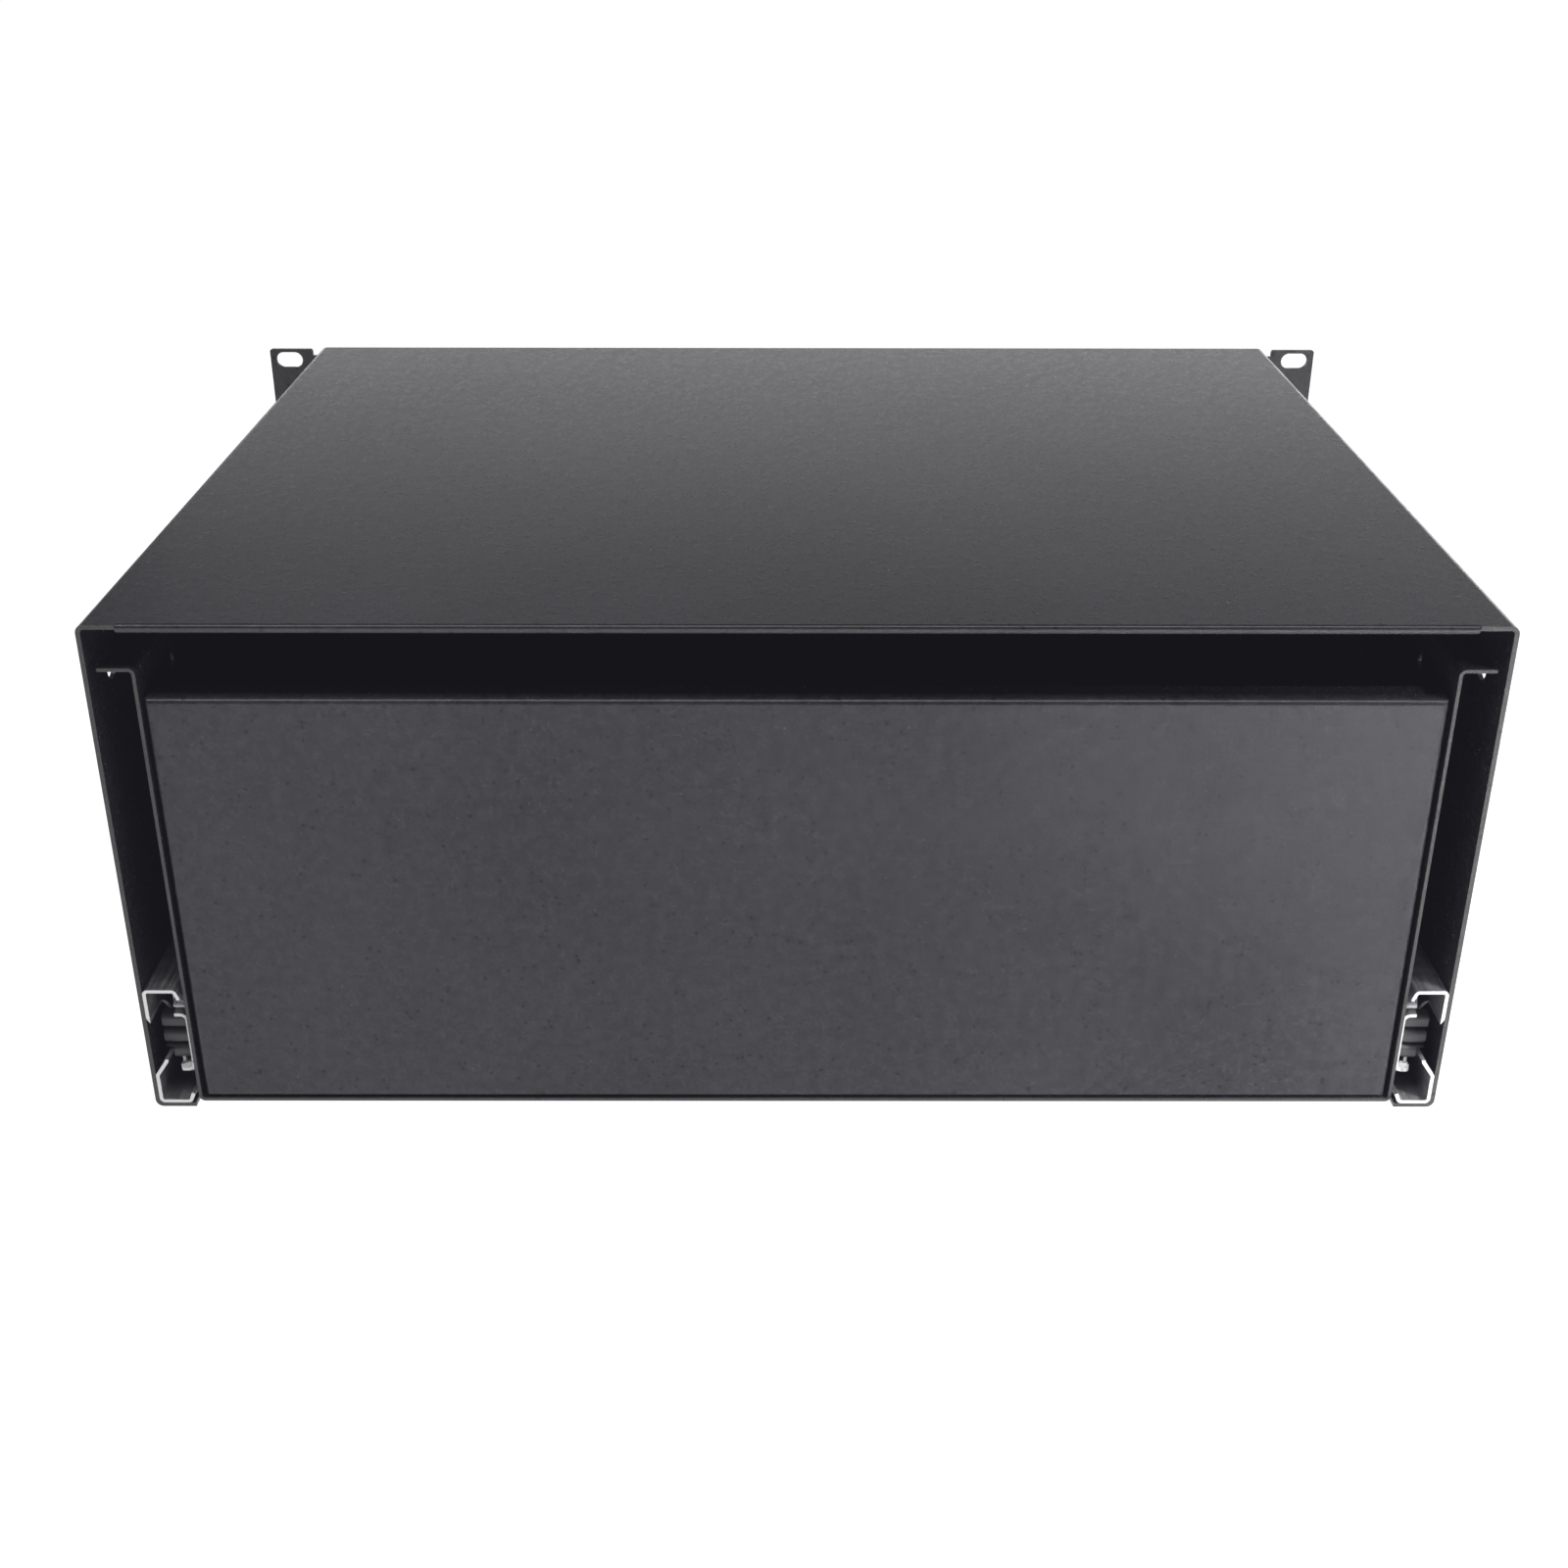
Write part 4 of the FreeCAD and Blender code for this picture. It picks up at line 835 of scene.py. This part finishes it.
@dataclass
class SlideRun(Assembly):
    """One telescopic slide with its cages, balls, bumper, lever and stamped ends."""

    side: Side
    edge: float = 0.18 * MM
    bumper_edge: float = 0.2 * MM
    lever_edge: float = 0.3 * MM
    tongue_edge: float = 0.15 * MM
    lug_edge: float = 0.12 * MM
    wall: float = 216.5 * MM
    lead_length: float = 6.0 * MM
    lead_drop: float = 1.4 * MM
    tongue_reach: float = 10.2 * MM
    tongue_width: float = 4.0 * MM
    tongue_sheet: float = 0.6 * MM
    tongue_step: float = 2.0 * MM
    tongue_root: float = 1.2 * MM
    tongue_dips: tuple[float, ...] = (0.0, 12.0, 35.0, 65.0, 110.0, 165.0)
    tongue_fall: float = 0.6
    tongue_cuts: int = 2
    lug_reach: float = 10.0 * MM
    lug_size: tuple[float, float, float] = (4.6 * MM, 1.6 * MM, 2.4 * MM)
    lug_rise: float = 1.4 * MM
    lug_lift: float = 0.3 * MM
    lug_high_part: float = 0.4
    lug_cuts: int = 3
    crumple: float = 0.22 * MM

    def build(self) -> None:
        """Eases the three members, dresses what runs between them and adds their stamped ends."""
        name = self.side.value
        members = Easing(self.edge)
        self.ease("slide_outer_" + name, SLIDE_ZINC, members)
        self.ease("slide_middle_" + name, SLIDE_ZINC, members)
        self.ease("slide_inner_" + name, SLIDE_ZINC, members, self.press_lead)
        for member in ("outer_cage_", "inner_cage_"):
            self.carry(member + name, CAGE_STEEL)
        for member in ("outer_balls_", "inner_balls_"):
            self.carry(member + name, BALL_STEEL)
        self.ease("rear_bumper_" + name, BUMPER_GREY, Easing(self.bumper_edge))
        self.ease("release_lever_" + name, LEVER_BLACK, Easing(self.lever_edge, segments=3))
        self.add(self.tongue(), BENT_ZINC, "middle_" + name)
        self.add(self.stop_lug(), BENT_ZINC, "drawer")

    def across(self, reach: float) -> float:
        """The x at a distance inward from the sleeve's wall."""
        return self.side.sign * (self.wall - reach)

    def press_lead(self, piece: Object) -> None:
        """Presses the back end of the inner member's upper flange down.

        Args:
            piece: the member's copy, before its edges are rounded.
        """
        _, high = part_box("slide_inner_" + self.side.value)
        flange = high.z - 2.0 * self.lead_drop
        end = high.y - NEAR
        activate(piece)
        bpy.ops.object.mode_set(mode="EDIT")
        bpy.ops.mesh.select_all(action="SELECT")
        fold = (0.0, high.y - self.lead_length, 0.0)
        bpy.ops.mesh.bisect(plane_co=fold, plane_no=(0.0, 1.0, 0.0))
        pick_vertices(piece, lambda place: place.y > end and place.z > flange)
        bpy.ops.transform.translate(value=(0.0, 0.0, -self.lead_drop))
        bpy.ops.object.mode_set(mode="OBJECT")

    def tongue(self) -> Object:
        """Makes the curled strip at the back end of the middle member's upper flange.

        Returns:
            The strip, dressed and rounded.
        """
        _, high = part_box("slide_middle_" + self.side.value)
        start = Vector((self.across(self.tongue_reach), high.y, high.z - self.tongue_root))
        deselect_all()
        bpy.ops.mesh.primitive_plane_add(size=1.0, location=start)
        piece = bpy.context.object
        piece.name = "slide_tongue_" + self.side.value
        piece.scale = (self.tongue_width, self.tongue_root, 1.0)
        settle(piece)
        pick_vertices(piece, lambda place: place.y > start.y)
        bpy.ops.mesh.select_mode(type="EDGE")
        for dip in self.tongue_dips:
            slope = math.radians(dip)
            down = self.tongue_step * math.sin(slope) * self.tongue_fall
            step = (0.0, self.tongue_step * math.cos(slope), -down)
            bpy.ops.mesh.extrude_region_move(TRANSFORM_OT_translate={"value": step})
        pick_vertices(piece, lambda place: place.y > start.y + self.tongue_root)
        bpy.ops.mesh.subdivide(number_cuts=self.tongue_cuts)
        bpy.ops.transform.vertex_random(offset=self.crumple, seed=TONGUE_SEED + self.side.sign)
        bpy.ops.object.mode_set(mode="OBJECT")
        apply_modifier(piece, "SOLIDIFY", thickness=self.tongue_sheet, offset=0.0)
        dress(piece, BENT_ZINC)
        Easing(self.tongue_edge, sharp=60.0, smooth=50.0).round_edges(piece)
        return piece

    def stop_lug(self) -> Object:
        """Makes the crumpled stop at the back end of the inner member's lower flange.

        Returns:
            The stop, dressed and rounded.
        """
        low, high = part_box("slide_inner_" + self.side.value)
        wide, deep, tall = self.lug_size
        middle = low.z + 0.5 * tall + self.lug_lift
        place = Vector((self.across(self.lug_reach), high.y - 0.5 * deep, middle))
        deselect_all()
        bpy.ops.mesh.primitive_cube_add(size=1.0, location=place)
        piece = bpy.context.object
        piece.name = "stop_lug_" + self.side.value
        piece.scale = (wide, deep, tall)
        settle(piece)
        inner = abs(self.across(self.lug_reach + self.lug_high_part * wide))
        pick_vertices(piece, lambda corner: corner.z > place.z and abs(corner.x) < inner)
        bpy.ops.transform.translate(value=(0.0, 0.0, self.lug_rise))
        bpy.ops.mesh.select_all(action="SELECT")
        bpy.ops.mesh.subdivide(number_cuts=self.lug_cuts)
        bpy.ops.transform.vertex_random(offset=self.crumple, seed=LUG_SEED + self.side.sign)
        bpy.ops.object.mode_set(mode="OBJECT")
        dress(piece, BENT_ZINC)
        Easing(self.lug_edge, sharp=50.0, smooth=60.0).round_edges(piece)
        return piece


@dataclass
class Drawer(Assembly):
    """The drawer's sheets, front panel, handles and screws."""

    edge: float = 0.35 * MM
    front_edge: float = 0.4 * MM

    def build(self) -> None:
        """Eases the sheets and dresses the rest."""
        self.ease("drawer_tray", TRAY_COAT, Easing(self.edge, segments=3))
        for node in ("drawer_back", "drawer_inner_front"):
            self.ease(node, DRAWER_COAT, Easing(self.edge))
        self.ease("front_panel", PANEL_COAT, Easing(self.front_edge, segments=3))
        for side in Side:
            self.ease("handle_" + side.value, HANDLE_COAT, Easing(self.front_edge))
            self.carry("tray_screws_" + side.value, SCREW_ZINC)
        self.carry("handle_screws", DULL_ZINC)


@dataclass
class Lock(Assembly):
    """The cam lock with its key."""

    barrel_edge: float = 0.35 * MM
    nut_edge: float = 0.3 * MM
    plug_edge: float = 0.15 * MM
    cam_edge: float = 0.2 * MM
    key_edge: float = 0.25 * MM

    def build(self) -> None:
        """Eases the lock's pieces."""
        self.ease("lock_barrel", LOCK_CHROME, Easing(self.barrel_edge, segments=3))
        self.ease("lock_nut", LOCK_ZINC, Easing(self.nut_edge))
        self.ease("lock_plug", LOCK_CHROME, Easing(self.plug_edge))
        self.ease("lock_cam", LOCK_ZINC, Easing(self.cam_edge))
        self.ease("key", KEY_NICKEL, Easing(self.key_edge))
        self.carry("cam_screw", SCREW_ZINC)


# ---------------------------------------------------------------- studio


@dataclass(frozen=True)
class Lamp:
    """A soft rectangular light aimed at a point."""

    name: str
    place: tuple[float, float, float]
    target: tuple[float, float, float]
    size: tuple[float, float]
    power: float
    spread: float = 180.0

    def build(self) -> Object:
        """Adds the light.

        Returns:
            The light's object.
        """
        data = bpy.data.lights.new(self.name, "AREA")
        data.shape = "RECTANGLE"
        data.size, data.size_y = self.size
        data.energy = self.power
        data.spread = math.radians(self.spread)
        lamp = bpy.data.objects.new(self.name, data)
        bpy.context.scene.collection.objects.link(lamp)
        aim = Vector(self.target) - Vector(self.place)
        turn = aim.to_track_quat("-Z", "Y").to_matrix().to_4x4()
        lamp.matrix_world = Matrix.Translation(self.place) @ turn
        return lamp


@dataclass
class Studio:
    """Pale floor, soft light and the camera."""

    floor_size: float = 18.0
    floor_tone: float = 0.16
    floor_glow: float = 1.0
    sky_front: float = 0.25
    sky_back: float = 0.035
    sky_fall: float = 0.25
    sky_along: tuple[float, float] = (-0.8, 0.5)
    sky_up: tuple[float, float] = (0.15, 0.5)
    haze: tuple[float, float, float] = (0.0080, 0.0076, 0.0105)
    eye: tuple[float, float, float] = (0.00516, 0.88752, 0.30282)
    pitch: float = 63.674
    heading: float = 179.886
    roll: float = 0.106
    lens: float = 44.2756

    def build(self) -> None:
        """Sets up the floor, the sky, the lamps and the camera."""
        self.floor()
        self.world()
        for lamp in self.lamps():
            lamp.build()
        self.camera()
        self.tone()

    def tone(self) -> None:
        """A plain transform with a faint bluish haze in the blacks."""
        view = bpy.context.scene.view_settings
        view.view_transform = "Standard"
        view.use_curve_mapping = True
        view.curve_mapping.black_level = [-level for level in self.haze]
        view.curve_mapping.update()

    def floor(self) -> None:
        """A wide pale plane just under the sleeve."""
        deselect_all()
        level = CAD_BOX[0][2]
        bpy.ops.mesh.primitive_plane_add(size=self.floor_size, location=(0.0, 0.0, level))
        plane = bpy.context.object
        plane.name = "studio_floor"
        made = bpy.data.materials.new("studio_floor")
        made.use_nodes = True
        shader = made.node_tree.nodes["Principled BSDF"]
        shader.inputs["Base Color"].default_value = grey(self.floor_tone)
        shader.inputs["Roughness"].default_value = 0.9
        shader.inputs["Emission Color"].default_value = grey(1.0)
        shader.inputs["Emission Strength"].default_value = self.floor_glow
        plane.data.materials.append(made)

    def world(self) -> None:
        """A sky brightest low in front, dark overhead and behind, and pale to the camera."""
        sky = bpy.data.worlds.new("studio_sky")
        sky.use_nodes = True
        graph = Graph(sky.node_tree)
        aim = graph.add("SeparateXYZ", Vector=graph.add("TexCoord").outputs["Generated"])
        strength = graph.stretch(aim.outputs["Y"], *self.sky_along, self.sky_front, self.sky_back)
        fall = graph.stretch(aim.outputs["Z"], *self.sky_up, 1.0, self.sky_fall)
        strength = graph.math("MULTIPLY", strength, fall)
        seen = graph.add("LightPath").outputs["Is Camera Ray"]
        strength = graph.math("MAXIMUM", strength, seen)
        background = graph.add("Background", Color=(0.97, 0.98, 1.0, 1.0), Strength=strength)
        leave = graph.add("OutputWorld")
        graph.feed(leave.inputs["Surface"], background.outputs["Background"])
        bpy.context.scene.world = sky

    def lamps(self) -> Iterable[Lamp]:
        """The long light overhead, the narrow one on the floor behind and the low one in front.

        Returns:
            The lamps, not yet built.
        """
        yield Lamp("overhead_light", (0.0, 0.75, 2.0), (0.0, 0.45, 0.0), (2.6, 0.5), 33.0)
        floor_spot = (-0.5, 0.76, -0.09)
        yield Lamp("key_light", (-1.0, 1.1, 0.9), floor_spot, (0.5, 0.4), 17.0, spread=34.0)
        yield Lamp("front_light", (-0.6, -3.2, 0.35), (0.0, 0.0, 0.1), (4.5, 0.5), 26.0)

    def camera(self) -> None:
        """A camera behind and above the drawer."""
        data = bpy.data.cameras.new("camera")
        data.lens = self.lens
        eye = bpy.data.objects.new("camera", data)
        bpy.context.scene.collection.objects.link(eye)
        turn = Matrix.Rotation(math.radians(self.heading), 4, "Z")
        tilt = Matrix.Rotation(math.radians(self.pitch), 4, "X")
        lean = Matrix.Rotation(math.radians(self.roll), 4, "Z")
        eye.matrix_world = Matrix.Translation(self.eye) @ turn @ tilt @ lean
        bpy.context.scene.camera = eye


def main() -> None:
    """Builds every assembly and then the studio."""
    logging.basicConfig(level=logging.INFO, format="%(name)s %(message)s")
    for assembly in (Sleeve(), SlideRun(Side.LEFT), SlideRun(Side.RIGHT), Drawer(), Lock()):
        assembly.build()
    Studio().build()


if __name__ == "__main__":
    main()
